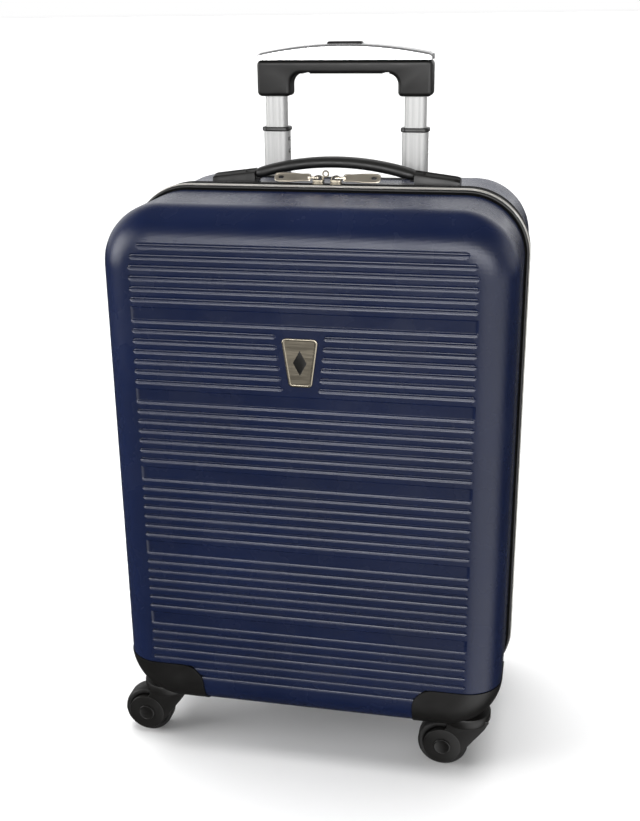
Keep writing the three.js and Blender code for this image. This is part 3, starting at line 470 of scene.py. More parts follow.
def shell_material():
    """Navy plastic embossed with small diamonds, which two sets of diagonal waves make."""
    surface = Surface("navy_shell", (0.0050, 0.0095, 0.0340), 0.26, Specular_IOR_Level=0.20)
    pitch = EMBOSS_PITCH * math.sqrt(2)

    def diamonds(a, b):
        up = surface.wave(surface.math("ADD", a, b), pitch)
        return surface.math("MULTIPLY", up, surface.wave(surface.math("SUBTRACT", a, b), pitch))

    surface.vary_color(surface.noise(9.0, 2.0), 0.88, 1.12)
    surface.vary_roughness(surface.noise(30.0), 0.05)
    surface.bump(surface.on_each_side(diamonds), EMBOSS_DEPTH, 0.55)
    return surface.material


def black_plastic_material(name, color=(0.0062, 0.0058, 0.0054), roughness=0.40, grain=0.05):
    surface = Surface(name, color, roughness, Specular_IOR_Level=0.2)
    surface.vary_color(surface.noise(24.0, 2.0), 0.85, 1.15)
    surface.vary_roughness(surface.noise(60.0, 4.0), 0.07)
    surface.bump(surface.noise(1500.0, 2.0), grain * MM, 0.5)
    return surface.material


def rubber_material():
    surface = Surface("soft_rubber", (0.0075, 0.0072, 0.0068), 0.48, Specular_IOR_Level=0.3)
    surface.vary_roughness(surface.noise(90.0))
    surface.bump(surface.noise(1900.0), 0.06 * MM, 0.6)
    return surface.material


def tread_material():
    surface = Surface("wheel_tread", (0.007, 0.0068, 0.0066), 0.5, Specular_IOR_Level=0.25)
    surface.vary_color(surface.noise(70.0), 0.7, 1.6)
    surface.vary_roughness(surface.noise(220.0, 4.0), 0.12)
    surface.bump(surface.noise(900.0, 4.0), 0.07 * MM, 0.6)
    return surface.material


def piping_material():
    surface = Surface("piping", (0.40, 0.385, 0.355), 0.22)
    surface.vary_color(surface.noise(40.0, 2.0), 0.85, 1.15)
    surface.vary_roughness(surface.noise(300.0, 2.0), 0.05)
    surface.bump(surface.noise(700.0, 2.0), 0.03 * MM, 0.4)
    return surface.material


def weave_material(name, color, pitch, roughness=0.85, specular=0.15):
    """Plain woven cloth: over and under threads in both directions."""
    surface = Surface(name, color, roughness, Specular_IOR_Level=specular)

    def threads(a, b):
        return surface.math("MULTIPLY", surface.wave(a, pitch), surface.wave(b, pitch))

    weave = surface.on_each_side(threads)
    surface.vary_color(weave, 0.7, 1.25, -1.0, 1.0)
    surface.vary_roughness(surface.noise(150.0), 0.06)
    surface.bump(weave, 0.12 * MM, 0.7)
    return surface.material


def aluminium_material():
    """Satin anodised aluminium, drawn along Z."""
    surface = Surface("satin_aluminium", (0.40, 0.40, 0.395), 0.50, 0.30)
    drawn = surface.noise(700.0, stretch=(1.0, 1.0, 0.012))
    surface.vary_color(drawn, 0.9, 1.06)
    surface.vary_roughness(drawn, 0.07)
    surface.bump(drawn, 0.02 * MM, 0.35)
    return surface.material


def silver_material():
    surface = Surface("silver_paint", (0.60, 0.60, 0.605), 0.25, 0.9)
    surface.vary_color(surface.noise(2600.0, 2.0), 0.94, 1.05)
    surface.vary_roughness(surface.noise(50.0, 2.0), 0.04)
    surface.bump(surface.noise(1200.0, 2.0), 0.006 * MM, 0.12)
    return surface.material


def pewter_material(name, color, roughness):
    """Antiqued cast metal, brushed lightly across."""
    surface = Surface(name, color, roughness, 1.0)
    brushed = surface.noise(900.0, stretch=(0.06, 1.0, 1.0))
    surface.vary_color(surface.noise(45.0, 2.0), 0.86, 1.14)
    surface.vary_roughness(brushed, 0.06)
    surface.bump(brushed, 0.012 * MM, 0.4)
    return surface.material


def steel_material():
    surface = Surface("zinc_steel", (0.42, 0.42, 0.43), 0.33, 1.0)
    surface.vary_color(surface.noise(200.0), 0.8, 1.1)
    surface.vary_roughness(surface.noise(300.0), 0.10)
    return surface.material


def floor_material():
    surface = Surface("pale_floor", (0.86, 0.86, 0.86), 0.75)
    surface.vary_roughness(surface.noise(3.0, 2.0), 0.05)
    return surface.material


MATERIALS = {
    "shell": shell_material(),
    "black_plastic": black_plastic_material("black_plastic"),
    "cap_plastic": black_plastic_material("cap_plastic", (0.0065, 0.0062, 0.0058), 0.30, 0.02),
    "piping": piping_material(),
    "welt": rubber_material(),
    "zip_tape": weave_material("zip_tape", (0.006, 0.006, 0.006), 0.9 * MM, specular=0.05),
    "zip_coil": black_plastic_material("zip_coil", (0.012, 0.012, 0.013), 0.38, 0.02),
    "pewter": pewter_material("pewter", (0.18, 0.16, 0.126), 0.34),
    "bright_pewter": pewter_material("bright_pewter", (0.42, 0.38, 0.315), 0.42),
    "tube": aluminium_material(),
    "silver_plastic": silver_material(),
    "steel": steel_material(),
    "soft_grip": rubber_material(),
    "tread": tread_material(),
    "lining": weave_material("lining_cloth", (0.075, 0.079, 0.094), 0.8 * MM),
    "webbing": weave_material("webbing", (0.022, 0.022, 0.024), 1.6 * MM, 0.8, 0.2),
}


def paint(obj, key):
    obj.data.materials.clear()
    obj.data.materials.append(MATERIALS[key])
    return obj


def piece(obj, slot, body, node, material=None):
    """Finishes a new piece: its material, named by slot unless material is given, its body, and the CAD node
    that it stands for.
    """
    if material or not obj.data.materials:
        paint(obj, material or slot)
    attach(obj, body)
    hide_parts(node)
    return obj


def keep_cad(node, key):
    """A CAD node whose shape is right gets its procedural material."""
    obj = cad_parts[node]
    for slot in obj.material_slots:
        slot.material = MATERIALS[key]
    return obj


# ---------------------------------------------------------------- the ribbed shells

RIB_PITCH = 9.3 * MM
RIB_COUNT = 46
RIBS_PER_BAND = 8
STRIP_PLACE = 6
PANEL_TOP = 512.4 * MM
PANEL_HALF_WIDTH = 149.8 * MM
PANEL_CHAMFER = (16 * MM, 23 * MM)
GROOVE_START = 0.55
GROOVE_END = 3.2 * MM
GROOVE_END_STEPS = 6
STEP_DROP = 0.3 * MM
UNDERCUT_DROP = 1.2 * MM
UNDERCUT_LEAN = math.radians(36)
FLOOR_DROP = 0.9 * MM
FLOOR_LEAN = math.radians(10)
BANK_DROP = 0.5 * MM
BANK_LEAN = math.radians(48)
SHOULDER_DROP = 3.0 * MM
SHOULDER_HEAD_LEAN = math.radians(26)
SHOULDER_FOOT_LEAN = math.radians(9)
SHOULDER_STEPS = 7
GROOVE_HEIGHT = STEP_DROP + UNDERCUT_DROP + FLOOR_DROP + BANK_DROP + SHOULDER_DROP
CUTTER_PROUD = 1.5 * MM
BADGE_MARGIN = 5.5 * MM
BADGE_TAPER = 5 * MM
EDGE_STEPS = 14
RIM_ROUND = 0.5 * MM
FACE_START = 2 * MM
HOUSING_LAP = 8 * MM
HOUSING_RADIUS = 20 * MM
HOUSING_ARC_STEPS = 10
HOUSING_REACH = 0.26
BEZEL_RADIUS = 10 * MM
BEZEL_CUT_HALF_HEIGHT = 0.1
BEZEL_REACH = 0.7


def shell_profile(face_y, rim_y, edge, wall):
    """(outset, y) from the middle of the closed face, round the edge to the rim, and back on the inside."""
    inward = 1 if rim_y > face_y else -1
    points = [(-edge - FACE_START, face_y)]
    for step in range(EDGE_STEPS + 1):
        turn = QUARTER * (1 - step / EDGE_STEPS)
        points.append((-edge * (1 - math.cos(turn)), face_y + inward * edge * (1 - math.sin(turn))))
    points += [(0.0, rim_y - inward * RIM_ROUND), (-RIM_ROUND, rim_y)]
    points += [(-wall + RIM_ROUND, rim_y), (-wall, rim_y - inward * RIM_ROUND)]
    inner_edge = edge - wall
    for step in range(EDGE_STEPS + 1):
        turn = QUARTER * step / EDGE_STEPS
        y = face_y + inward * (wall + inner_edge * (1 - math.sin(turn)))
        points.append((-wall - inner_edge * (1 - math.cos(turn)), y))
    points.append((-edge - FACE_START, face_y + inward * wall))
    return points


def groove_section(strip_height):
    """(depth, drop) points of a groove, from its upper lip down: a sharp step in, a short floor that leans
    inward, one that leans outward, a steep bank, and a broad round shoulder up to the face."""
    bank_start = GROOVE_HEIGHT - SHOULDER_DROP + strip_height - BANK_DROP
    drop, depth = GROOVE_HEIGHT + strip_height, 0.0
    shoulder = [(depth, drop)]
    step_length = SHOULDER_DROP / SHOULDER_STEPS
    for step in range(SHOULDER_STEPS):
        share = (step + 0.5) / SHOULDER_STEPS
        lean = SHOULDER_FOOT_LEAN + (SHOULDER_HEAD_LEAN - SHOULDER_FOOT_LEAN) * share
        drop -= step_length
        depth += step_length * math.tan(lean)
        shoulder.append((depth, drop))
    bank_depth = depth + math.tan(BANK_LEAN) * BANK_DROP
    deepest = bank_depth + math.tan(FLOOR_LEAN) * FLOOR_DROP
    step_depth = deepest - math.tan(UNDERCUT_LEAN) * UNDERCUT_DROP
    points = [(-CUTTER_PROUD, 0.0), (0.0, 0.0), (step_depth, STEP_DROP)]
    if strip_height > 0:
        points.append((deepest, STEP_DROP + UNDERCUT_DROP))
    points += [(deepest, bank_start - FLOOR_DROP), (bank_depth, bank_start)]
    points += reversed(shoulder)
    points.append((-CUTTER_PROUD, GROOVE_HEIGHT + strip_height))
    return points


def groove_cutter(face_y, inward, top, left, right, strip_height):
    """One groove's cutter. Its ends are shallower and, but for a strip's, narrower."""
    section = groove_section(strip_height)
    centre = section[-1][1] * 0.6
    ends = []
    for step in range(GROOVE_END_STEPS + 1):
        turn = QUARTER * step / GROOVE_END_STEPS
        ends.append((GROOVE_END * (1 - math.cos(turn)), max(0.04, math.sin(turn))))
    spans = [(left + offset, scale) for offset, scale in ends]
    spans += [(right - offset, scale) for offset, scale in reversed(ends)]
    stages = []
    for x, scale in spans:
        loop = []
        for depth, drop in section:
            sunk = depth * scale if depth > 0 else depth
            squeezed = drop if strip_height > 0 else centre + (drop - centre) * scale
            loop.append((face_y + inward * sunk, top - squeezed))
        stages.append((loop, CASE_X + x))
    return sections("groove", X, stages)


def rib_cutters(face_y, inward, with_badge):
    """The grooves in bands of six and a tall one, with a gap where the badge is."""
    shield = Box("badge")
    cutters = []
    for rib in range(RIB_COUNT):
        place = rib % RIBS_PER_BAND
        if place > STRIP_PLACE:
            continue
        top = PANEL_TOP - (rib + GROOVE_START) * RIB_PITCH
        strip_height = RIB_PITCH if place == STRIP_PLACE else 0.0
        bottom = top - GROOVE_HEIGHT - strip_height
        below = min((PANEL_TOP - bottom) / PANEL_CHAMFER[1], 1.0)
        reach = PANEL_HALF_WIDTH - PANEL_CHAMFER[0] * (1 - below)
        runs = [(-reach, reach)]
        if with_badge and top > shield.low.z - BADGE_MARGIN and bottom < shield.high.z + BADGE_MARGIN:
            height = ((top + bottom) / 2 - shield.low.z) / (shield.high.z - shield.low.z)
            inner = shield.half_x - (1 - height) * BADGE_TAPER + BADGE_MARGIN
            runs = [(-reach, -inner), (inner, reach)]
        cutters += [groove_cutter(face_y, inward, top, left, right, strip_height) for left, right in runs]
    return joined("rib_cutters", cutters)


def corner_cutter(side, end, grow):
    """The space that a wheel housing takes out of a bottom corner: a block that is open to the outside, and
    whose inner upright edges and top edge are round seen from front and side."""
    housing = Box("front_right_wheel_housing" if end < 0 else "rear_right_wheel_housing")
    inner_x = housing.low.x - CASE_X + HOUSING_LAP - grow
    inner_y = (-housing.high.y if end < 0 else housing.low.y) + HOUSING_LAP - grow
    top = housing.high.z - HOUSING_LAP + grow
    radius = HOUSING_RADIUS + grow
    reach = HOUSING_REACH

    def arch(inner, centre, way):
        points = [(inner, -reach), (inner, top - radius)]
        for step in range(1, HOUSING_ARC_STEPS + 1):
            turn = QUARTER * step / HOUSING_ARC_STEPS
            points.append((inner + radius * (1 - math.cos(turn)), top - radius * (1 - math.sin(turn))))
        points += [(reach, top), (reach, -reach)]
        return [(centre + way * across, z) for across, z in points]

    shape = prism("corner", Y, arch(inner_x, CASE_X, side), end * inner_y * 0.5, end * reach)
    ends = (CASE_X + side * inner_x * 0.5, CASE_X + side * reach)
    return boolean(shape, prism("corner_side", X, arch(inner_y, 0.0, end), *ends), "INTERSECT")


def bezel_cutter():
    """The space that the handle's bezel takes out of the rear shell's top edge."""
    bezel = Box("handle_bezel")
    middle = (CASE_X, bezel.low.z - GAP + BEZEL_CUT_HALF_HEIGHT)
    front = rounded_rectangle(bezel.half_x + GAP, BEZEL_CUT_HALF_HEIGHT, BEZEL_RADIUS + GAP, 8, middle)
    return prism("bezel", Y, front, bezel.low.y - GAP, BEZEL_REACH)


def ribbed_shell(half, end):
    """A half of the case. Its big flat faces keep their own normals, so that they shade flat."""
    face_y, rim_y, edge = HALVES[end]
    shell = case_loft(half + "_shell_skin", shell_profile(face_y, rim_y, edge, WALL))
    boolean(shell, rib_cutters(face_y, -end, end < 0))
    for side in SIDES:
        boolean(shell, corner_cutter(side, end, GAP))
    if end > 0:
        boolean(shell, bezel_cutter())
    smooth(shell)
    normals = shell.modifiers.new("weighted_normals", "WEIGHTED_NORMAL")
    normals.mode = "FACE_AREA"
    normals.weight = 50
    normals.keep_sharp = True
    return piece(shell, "shell", half + "_half", half + "_shell")


# ---------------------------------------------------------------- zip band

BAND_STATIONS = coarse_stations(24, 6)
BEAD_FOOT = 0.9 * MM
TAPE_TOP = 0.7 * MM
TAPE_UNDER = -2.1 * MM
SELVEDGE_RISE = 0.35 * MM
SELVEDGE_HALF_WIDTH = 0.8 * MM
COIL_PITCH = 1.55 * MM
COIL_INNER = 1.0 * MM
COIL_CLEARANCE = 0.1 * MM
STEPS_PER_TOOTH = 6
TOOTH_SWELL_OUT = 0.20
TOOTH_SWELL_WIDE = 0.14


def bead(name, node, body, slot, half_y, lower=0.0, material=None):
    """A round bead all round the case, lower than its CAD node by the given height."""
    box = Box(node)
    half_out = (box.high.z - CASE_TOP - lower - BEAD_FOOT) / 2
    section = round_section(BEAD_FOOT + half_out, box.y, half_out, half_y, 16)
    return piece(ring_sweep(name, BAND_STATIONS, lambda _number: section), slot, body, node, material)


def zip_tape(half):
    """A tape with a raised selvedge along each edge."""
    box = Box(half + "_zip_tape")
    points = [(TAPE_UNDER, 0.0), (TAPE_TOP, 0.0), (TAPE_TOP + SELVEDGE_RISE, SELVEDGE_HALF_WIDTH),
              (TAPE_TOP, 2 * SELVEDGE_HALF_WIDTH)]
    points = [(out, box.low.y + inset) for out, inset in points] + \
             [(out, box.high.y - inset) for out, inset in reversed(points)]
    tape = ring_sweep(half + "_zip_tape_band", BAND_STATIONS, lambda _number: points)
    return piece(tape, "zip_tape", half + "_half", half + "_zip_tape")


def zip_coil(half, phase):
    """Half of a coil zip: a row of round teeth, each a swelling on the tape."""
    box = Box(half + "_zip_coil")
    outer = box.high.z - CASE_TOP
    centre = (COIL_INNER + outer) / 2
    half_out = (outer - COIL_INNER) / 2
    half_y = box.half_y - COIL_CLEARANCE
    count = round(PERIMETER / (COIL_PITCH / STEPS_PER_TOOTH))

    def section(number):
        swing = math.cos(FULL_TURN * (number / STEPS_PER_TOOTH + phase))
        out = half_out * (1 - TOOTH_SWELL_OUT + TOOTH_SWELL_OUT * swing)
        wide = half_y * (1 - TOOTH_SWELL_WIDE + TOOTH_SWELL_WIDE * swing)
        return round_section(centre, box.y, out, wide, 10)

    stations = [PERIMETER * step / count for step in range(count)]
    coil = ring_sweep(half + "_zip_teeth", stations, section, 60.0)
    return piece(coil, "zip_coil", half + "_half", half + "_zip_coil")


SLIDER_HALF_LENGTH = 5.5 * MM
SLIDER_HEIGHT = 4.4 * MM
SLIDER_WAIST = 0.16
# (height in millimetres, share of the plan) from the bottom plate, past the waist, to the top plate
SLIDER_STAGES = [
    (0, 0.93), (0.25, 1.0), (1.35, 1.0), (1.6, 0.9), (2.7, 0.9), (2.95, 1.0), (3.9, 0.98), (4.4, 0.86),
]
BRIDGE_HALF_LENGTH = 4.0 * MM
BRIDGE_RISE = 3.6 * MM
BRIDGE_SUNK = 0.4 * MM
BRIDGE_STEPS = 12
EYE_AHEAD = 6.8 * MM
EYE_RADIUS = 2.6 * MM
EYE_WIRE = 0.75 * MM
EYE_FOOT_LOW = (4.0 * MM, -0.7 * MM, -0.7 * MM)
EYE_FOOT_HIGH = (5.2 * MM, 0.7 * MM, 4.4 * MM)


def slider(side, with_eye):
    """A slider: a waisted body over the coil, a bridge for the pull, and on one of them a padlock eye."""
    node = side + "_slider"
    box = Box(node)
    x = box.low.x + SLIDER_HALF_LENGTH if with_eye else box.x
    top = box.low.z + SLIDER_HEIGHT
    plan = []
    for turn in angles(48):
        along, across = squarish(turn, 0.55, 0.55)
        px = SLIDER_HALF_LENGTH * along
        waist = 1 - SLIDER_WAIST * math.cos(px / SLIDER_HALF_LENGTH * math.pi / 2) ** 2
        plan.append((px, box.half_y * waist * across))
    stages = [(scaled(plan, share), box.low.z + height * MM) for height, share in SLIDER_STAGES]
    path = []
    for step in range(BRIDGE_STEPS + 1):
        turn = math.pi * step / BRIDGE_STEPS
        rise = BRIDGE_RISE * math.sin(turn) ** 0.7
        path.append(Vector((x - BRIDGE_HALF_LENGTH * math.cos(turn), box.y, top - BRIDGE_SUNK + rise)))
    parts = [sections("slider_core", Z, stages, smooth_angle=35.0, centre=(x, box.y)),
             tube_along("slider_bridge", path, lambda _share: (0.55 * MM, 1.4 * MM), (0, 1, 0), 10)]
    if with_eye:
        centre = Vector((x + EYE_AHEAD, box.y, box.high.z - EYE_RADIUS - EYE_WIRE))
        wire = round_section(EYE_RADIUS, 0.0, EYE_WIRE, EYE_WIRE, 10)
        parts.append(turned("lock_ring", wire, (0, 1, 0), centre, 36))
        low, high = [Vector((x, box.y, top)) + Vector(corner) for corner in (EYE_FOOT_LOW, EYE_FOOT_HIGH)]
        parts.append(block("lock_foot", low, high, 0.25 * MM))
    return piece(joined(node + "_body", parts), "pewter", node, node)


PULL_PIN = 0.7 * MM
PULL_LEAN = math.radians(50)
PLATE_START = 6.8 * MM
PLATE_HALF_WIDTH = 4.9 * MM
PLATE_WAIST = 0.22
# (how far in from the outline, height over the plate's middle), in millimetres
PLATE_STAGES = [(0.35, -0.75), (0.0, -0.45), (0.0, 0.45), (0.35, 0.75), (1.0, 0.8), (1.25, 0.5)]
# Half length, half width and corner radius of the slot, and how far its middle is from the plate's end
PULL_SLOT = (2.6 * MM, 1.5 * MM, 1.4 * MM)
PULL_SLOT_INSET = 6.0 * MM
# The yoke's bars in millimetres: (ahead of the pin, to the side)
YOKE_PIN = [(0, -3.4), (0, 0), (0, 3.4)]
YOKE_ARM = [(-0.3, 3.025), (3, 2.75), (6, 2.5), (9, 2.25)]
YOKE_NECK = [(8.2, -2.9), (8.2, 0), (8.2, 2.9)]


def zip_pull(side, way):
    """A long plate on a small yoke, leaning so that its face is up and forward."""
    node = side + "_pull"
    box = Box(node)
    origin = Vector((box.low.x + PULL_PIN if way > 0 else box.high.x - PULL_PIN, box.y, box.z))
    length = box.high.x - box.low.x - PULL_PIN
    across = Vector((0, math.cos(PULL_LEAN), math.sin(PULL_LEAN)))
    thick = Vector((0, -math.sin(PULL_LEAN), math.cos(PULL_LEAN)))
    centre, half_length = (PLATE_START + length) / 2, (length - PLATE_START) / 2

    def laid(points, height):
        return [origin + Vector((way, 0, 0)) * u + across * v + thick * height for u, v in points]

    def bar(name, points, half_height, half_width, wide, count=10):
        path = [origin + Vector((ahead * way * MM, y * MM, 0)) for ahead, y in points]
        return tube_along(name, path, lambda _share: (half_height * MM, half_width * MM), wide, count)

    outline = []
    for turn in angles(64):
        along, sideways = squarish(turn, 0.32, 0.45)
        u = half_length * along
        waist = 1 - PLATE_WAIST * math.exp(-((centre + u - length * 0.36) / (7 * MM)) ** 2)
        outline.append((u, PLATE_HALF_WIDTH * waist * sideways))
    loops = []
    for inset, height in PLATE_STAGES:
        ring = scaled(outline, 1 - inset * MM / half_length, 1 - inset * MM / PLATE_HALF_WIDTH)
        loops.append(laid(shifted(ring, centre, 0.0), height * MM))
    plate = loft("pull_plate", loops)
    slot = rounded_rectangle(*PULL_SLOT, 6, (length - PULL_SLOT_INSET, 0.0))
    boolean(plate, loft("pull_slot", [laid(slot, height * MM) for height in (-3, 3)]))
    smooth(plate)
    parts = [plate, bar("pull_pin", YOKE_PIN, 0.65, 0.65, (0, 0, 1))]
    for end in SIDES:
        parts.append(bar("pull_arm", scaled(YOKE_ARM, 1, end), 0.65, 0.7, (0, 1, 0)))
    parts.append(bar("pull_neck", YOKE_NECK, 1.2, 1.3, (0, 0, 1), 12))
    return piece(joined(node + "_plate", parts), "pewter", node, node, "bright_pewter")


# ---------------------------------------------------------------- badge

BADGE_CORNER = 4 * MM
BADGE_FIELD_DEPTH = 0.55
# (how far in from the outline, depth behind the rim's front), in millimetres
BADGE_RIM = [(0.0, 0.45), (0.4, 0.08), (0.8, 0.0), (1.5, 0.0), (2.0, 0.15), (2.3, BADGE_FIELD_DEPTH)]
LOZENGE = [(6.0 * MM, 0), (0, 11.0 * MM), (-6.0 * MM, 0), (0, -11.0 * MM)]
# (share of the lozenge, height over the field in millimetres)
LOZENGE_STAGES = [(1.0, -0.1), (1.0, 0.15), (0.86, 0.4), (0.02, 0.42)]


def badge():
    """A tapered shield with a raised rim and a plain lozenge in relief."""
    box = Box("badge")

    def shield(inset):
        points = []
        for quarter, (side, up) in enumerate([(1, 1), (-1, 1), (-1, -1), (1, -1)]):
            half = box.half_x if up > 0 else box.half_x - BADGE_TAPER
            z = box.high.z if up > 0 else box.low.z
            middle_x = box.x + (side * half - side * BADGE_CORNER)
            points += corner_arc(middle_x, z - up * BADGE_CORNER, BADGE_CORNER - inset, quarter, 8)
        return points

    front = box.low.y
    field = front + BADGE_FIELD_DEPTH * MM
    stages = [(shield(0.0), box.high.y)]
    stages += [(shield(inset * MM), front + depth * MM) for inset, depth in BADGE_RIM]
    plate = sections("badge_plate", Y, stages, smooth_angle=35.0)
    relief = [(scaled(LOZENGE, share), field - height * MM) for share, height in LOZENGE_STAGES]
    lozenge = sections("badge_lozenge", Y, relief, smooth_angle=20.0, centre=(box.x, box.z))
    paint(plate, "pewter")
    paint(lozenge, "cap_plastic")
    return piece(joined("badge_shield", [plate, lozenge]), "pewter", "front_half", "badge")


# ---------------------------------------------------------------- trolley handle

TUBE_SAMPLES = 120
TUBE_WALL = 1.1 * MM
TUBE_EASE = 0.25 * MM
FLUTE_PLACES = (-0.31, 0.31)
FLUTE_DEPTH = 0.22 * MM
FLUTE_REACH = 1.5 * MM
# Half width, half height and corner radius of the lock's slots, and how far their middles are below the top
DETENT_SLOT = (5.2 * MM, 2.0 * MM, 1.9 * MM)
DETENT_DROPS = (7.6 * MM, 19.3 * MM)
DETENT_CUT = 20 * MM
# Half sizes and corner radius
COLLAR_OPENING = (10.7 * MM, 7.6 * MM, 5.2 * MM)
COLLAR_RADIUS = 6.0 * MM
# (how far in from the outside, height, whether that is from the top), in millimetres
COLLAR_STAGES = [
    (0.5, 0.0, False), (0.0, 0.5, False), (0.0, -1.0, True), (0.35, -0.3, True), (1.0, 0.0, True),
]


def fluted_tube(node, body, corner):
    """A drawn aluminium tube with shallow flutes down its front and back."""
    box = Box(node)
    outer = resample(rounded_rectangle(box.half_x, box.half_y, corner, 8), TUBE_SAMPLES)
    dented = []
    for px, py in outer:
        depth = 0.0
        if abs(py) > box.half_y * 0.9:
            reaches = [(px - place * box.half_x) / FLUTE_REACH for place in FLUTE_PLACES]
            depth = sum(FLUTE_DEPTH * math.exp(-reach ** 2) for reach in reaches)
        dented.append((px, py - math.copysign(depth, py)))
    inner = scaled(outer, 1 - TUBE_WALL / box.half_x, 1 - TUBE_WALL / box.half_y)
    eased = scaled(dented, 1 - TUBE_EASE / box.half_x, 1 - TUBE_EASE / box.half_y)
    low, high = box.low.z, box.high.z
    stages = [(inner, low), (dented, low), (dented, high - TUBE_EASE), (eased, high)]
    stages += [(inner, high), (inner, low)]
    tube = sections(node + "_skin", Z, stages, False, 35.0, (box.x, box.y))
    return piece(tube, "tube", body, node)


def lower_tube(node, body):
    """A tube with two slots in its right wall for the handle's lock."""
    tube = fluted_tube(node, body, 6 * MM)
    box = Box(node)
    for drop in DETENT_DROPS:
        slot = rounded_rectangle(*DETENT_SLOT, 6, (box.y, box.high.z - drop))
        boolean(tube, prism("slot", X, slot, box.x, box.x + DETENT_CUT))
    smooth(tube, 35.0)
    return paint(tube, "tube")


def collar(side, body):
    node = side + "_collar"
    box = Box(node)
    stages = []
    for inset, height, from_top in COLLAR_STAGES:
        sizes = [size - inset * MM for size in (box.half_x, box.half_y, COLLAR_RADIUS)]
        stages.append((rounded_rectangle(*sizes, 8), (box.high.z if from_top else box.low.z) + height * MM))
    opening = rounded_rectangle(*COLLAR_OPENING, 8)
    stages += [(opening, box.high.z - 0.2 * MM), (opening, box.low.z), stages[0]]
    ring = sections(node + "_ring", Z, stages, False, 35.0, (box.x, box.y))
    return piece(ring, "black_plastic", body, node, "cap_plastic")


GRIP_LEG = 32.5 * MM
GRIP_LEG_HEIGHT = 21 * MM
GRIP_OUTER_RADIUS = 4.5 * MM
GRIP_FOOT_RADIUS = 3.9 * MM
GRIP_INNER_RADIUS = 10 * MM
GRIP_BEVEL = 3.6 * MM
GRIP_BEVEL_STEPS = 6
GRIP_SOCKET = (10.8 * MM, 7.7 * MM, 5.2 * MM)
GRIP_SOCKET_ABOVE_TUBE = 0.3 * MM
NOTCH_PLACES = (-40 * MM, 37 * MM)
NOTCH_LENGTH = 7 * MM
NOTCH_DEPTH = 1.2 * MM
POCKET_DEPTH = 7 * MM
POCKET_PLAY = 0.6 * MM
CLEAR = 5 * MM


def grip_outline(box):
    """The grip from the front, anticlockwise from its upper left corner: two legs under a crossbar."""
    outer, foot, inner = GRIP_OUTER_RADIUS, GRIP_FOOT_RADIUS, GRIP_INNER_RADIUS
    half = box.half_x
    leg = half - GRIP_LEG
    top, bottom = box.high.z - outer, box.low.z
    arch = bottom + GRIP_LEG_HEIGHT - inner
    outline = corner_arc(-half + outer, top, outer, 1)
    outline += corner_arc(-half + outer, bottom + outer, outer, 2)
    outline += corner_arc(-leg - foot, bottom + foot, foot, 3)
    outline += corner_arc(-leg + inner, arch, inner, 1)[::-1]
    outline += corner_arc(leg - inner, arch, inner, 0)[::-1]
    outline += corner_arc(leg + foot, bottom + foot, foot, 2)
    outline += corner_arc(half - outer, bottom + outer, outer, 3)
    return outline + corner_arc(half - outer, top, outer, 0)


def grip_arch():
    """The grip: two legs and a crossbar with soft edges, hollowed for the tubes, the yoke and the button."""
    box = Box("trolley_grip")
    front, back = box.low.y, box.high.y
    outline = grip_outline(box)
    rounds = []
    for step in range(GRIP_BEVEL_STEPS + 1):
        turn = QUARTER * step / GRIP_BEVEL_STEPS
        rounds.append((GRIP_BEVEL * (1 - math.sin(turn)), GRIP_BEVEL * (1 - math.cos(turn))))
    places = [(inset, front + depth) for inset, depth in rounds]
    places += [(inset, back - depth) for inset, depth in reversed(rounds)]
    stages = [(offset_outline(outline, inset), y) for inset, y in places]
    arch = sections("trolley_grip_arch", Y, stages, centre=(box.x, 0.0))
    tube = Box("right_upper_tube")
    for side in SIDES:
        middle = (box.x + side * (tube.x - box.x), box.y)
        socket = rounded_rectangle(*GRIP_SOCKET, 8, middle)
        boolean(arch, prism("socket", Z, socket, box.low.z - CLEAR, tube.high.z + GRIP_SOCKET_ABOVE_TUBE))
    under = box.low.z + GRIP_LEG_HEIGHT
    for place in NOTCH_PLACES:
        low = (box.x + place, front - CLEAR, under - 2 * MM)
        boolean(arch, block("notch", low, (low[0] + NOTCH_LENGTH, back + CLEAR, under + NOTCH_DEPTH)))
    button = Box("release_button")
    low = (button.low.x - POCKET_PLAY, button.low.y - POCKET_PLAY, box.high.z - POCKET_DEPTH)
    high = (button.high.x + POCKET_PLAY, button.high.y + POCKET_PLAY, box.high.z + CLEAR)
    boolean(arch, block("pocket", low, high))
    smooth(arch, 35.0)
    return piece(arch, "black_plastic", "upper_stage", "trolley_grip")


COVER_STEPS = 60
COVER_END_HEIGHT = 6.0 * MM
COVER_END_SHARE = 0.02
COVER_FOOT = 1.2 * MM
COVER_EDGE = (3.4 * MM, 2.6 * MM)
COVER_EDGE_DROP = 3.0 * MM
COVER_EDGE_STEPS = 6
COVER_SLOT_PLAY = 0.5 * MM
COVER_SLOT_CLEAR = 2 * MM
COVER_SLOT_RADIUS = 3 * MM
# The shares of the height and of the width that the ends lose
COVER_PINCH = (0.20, 0.14)


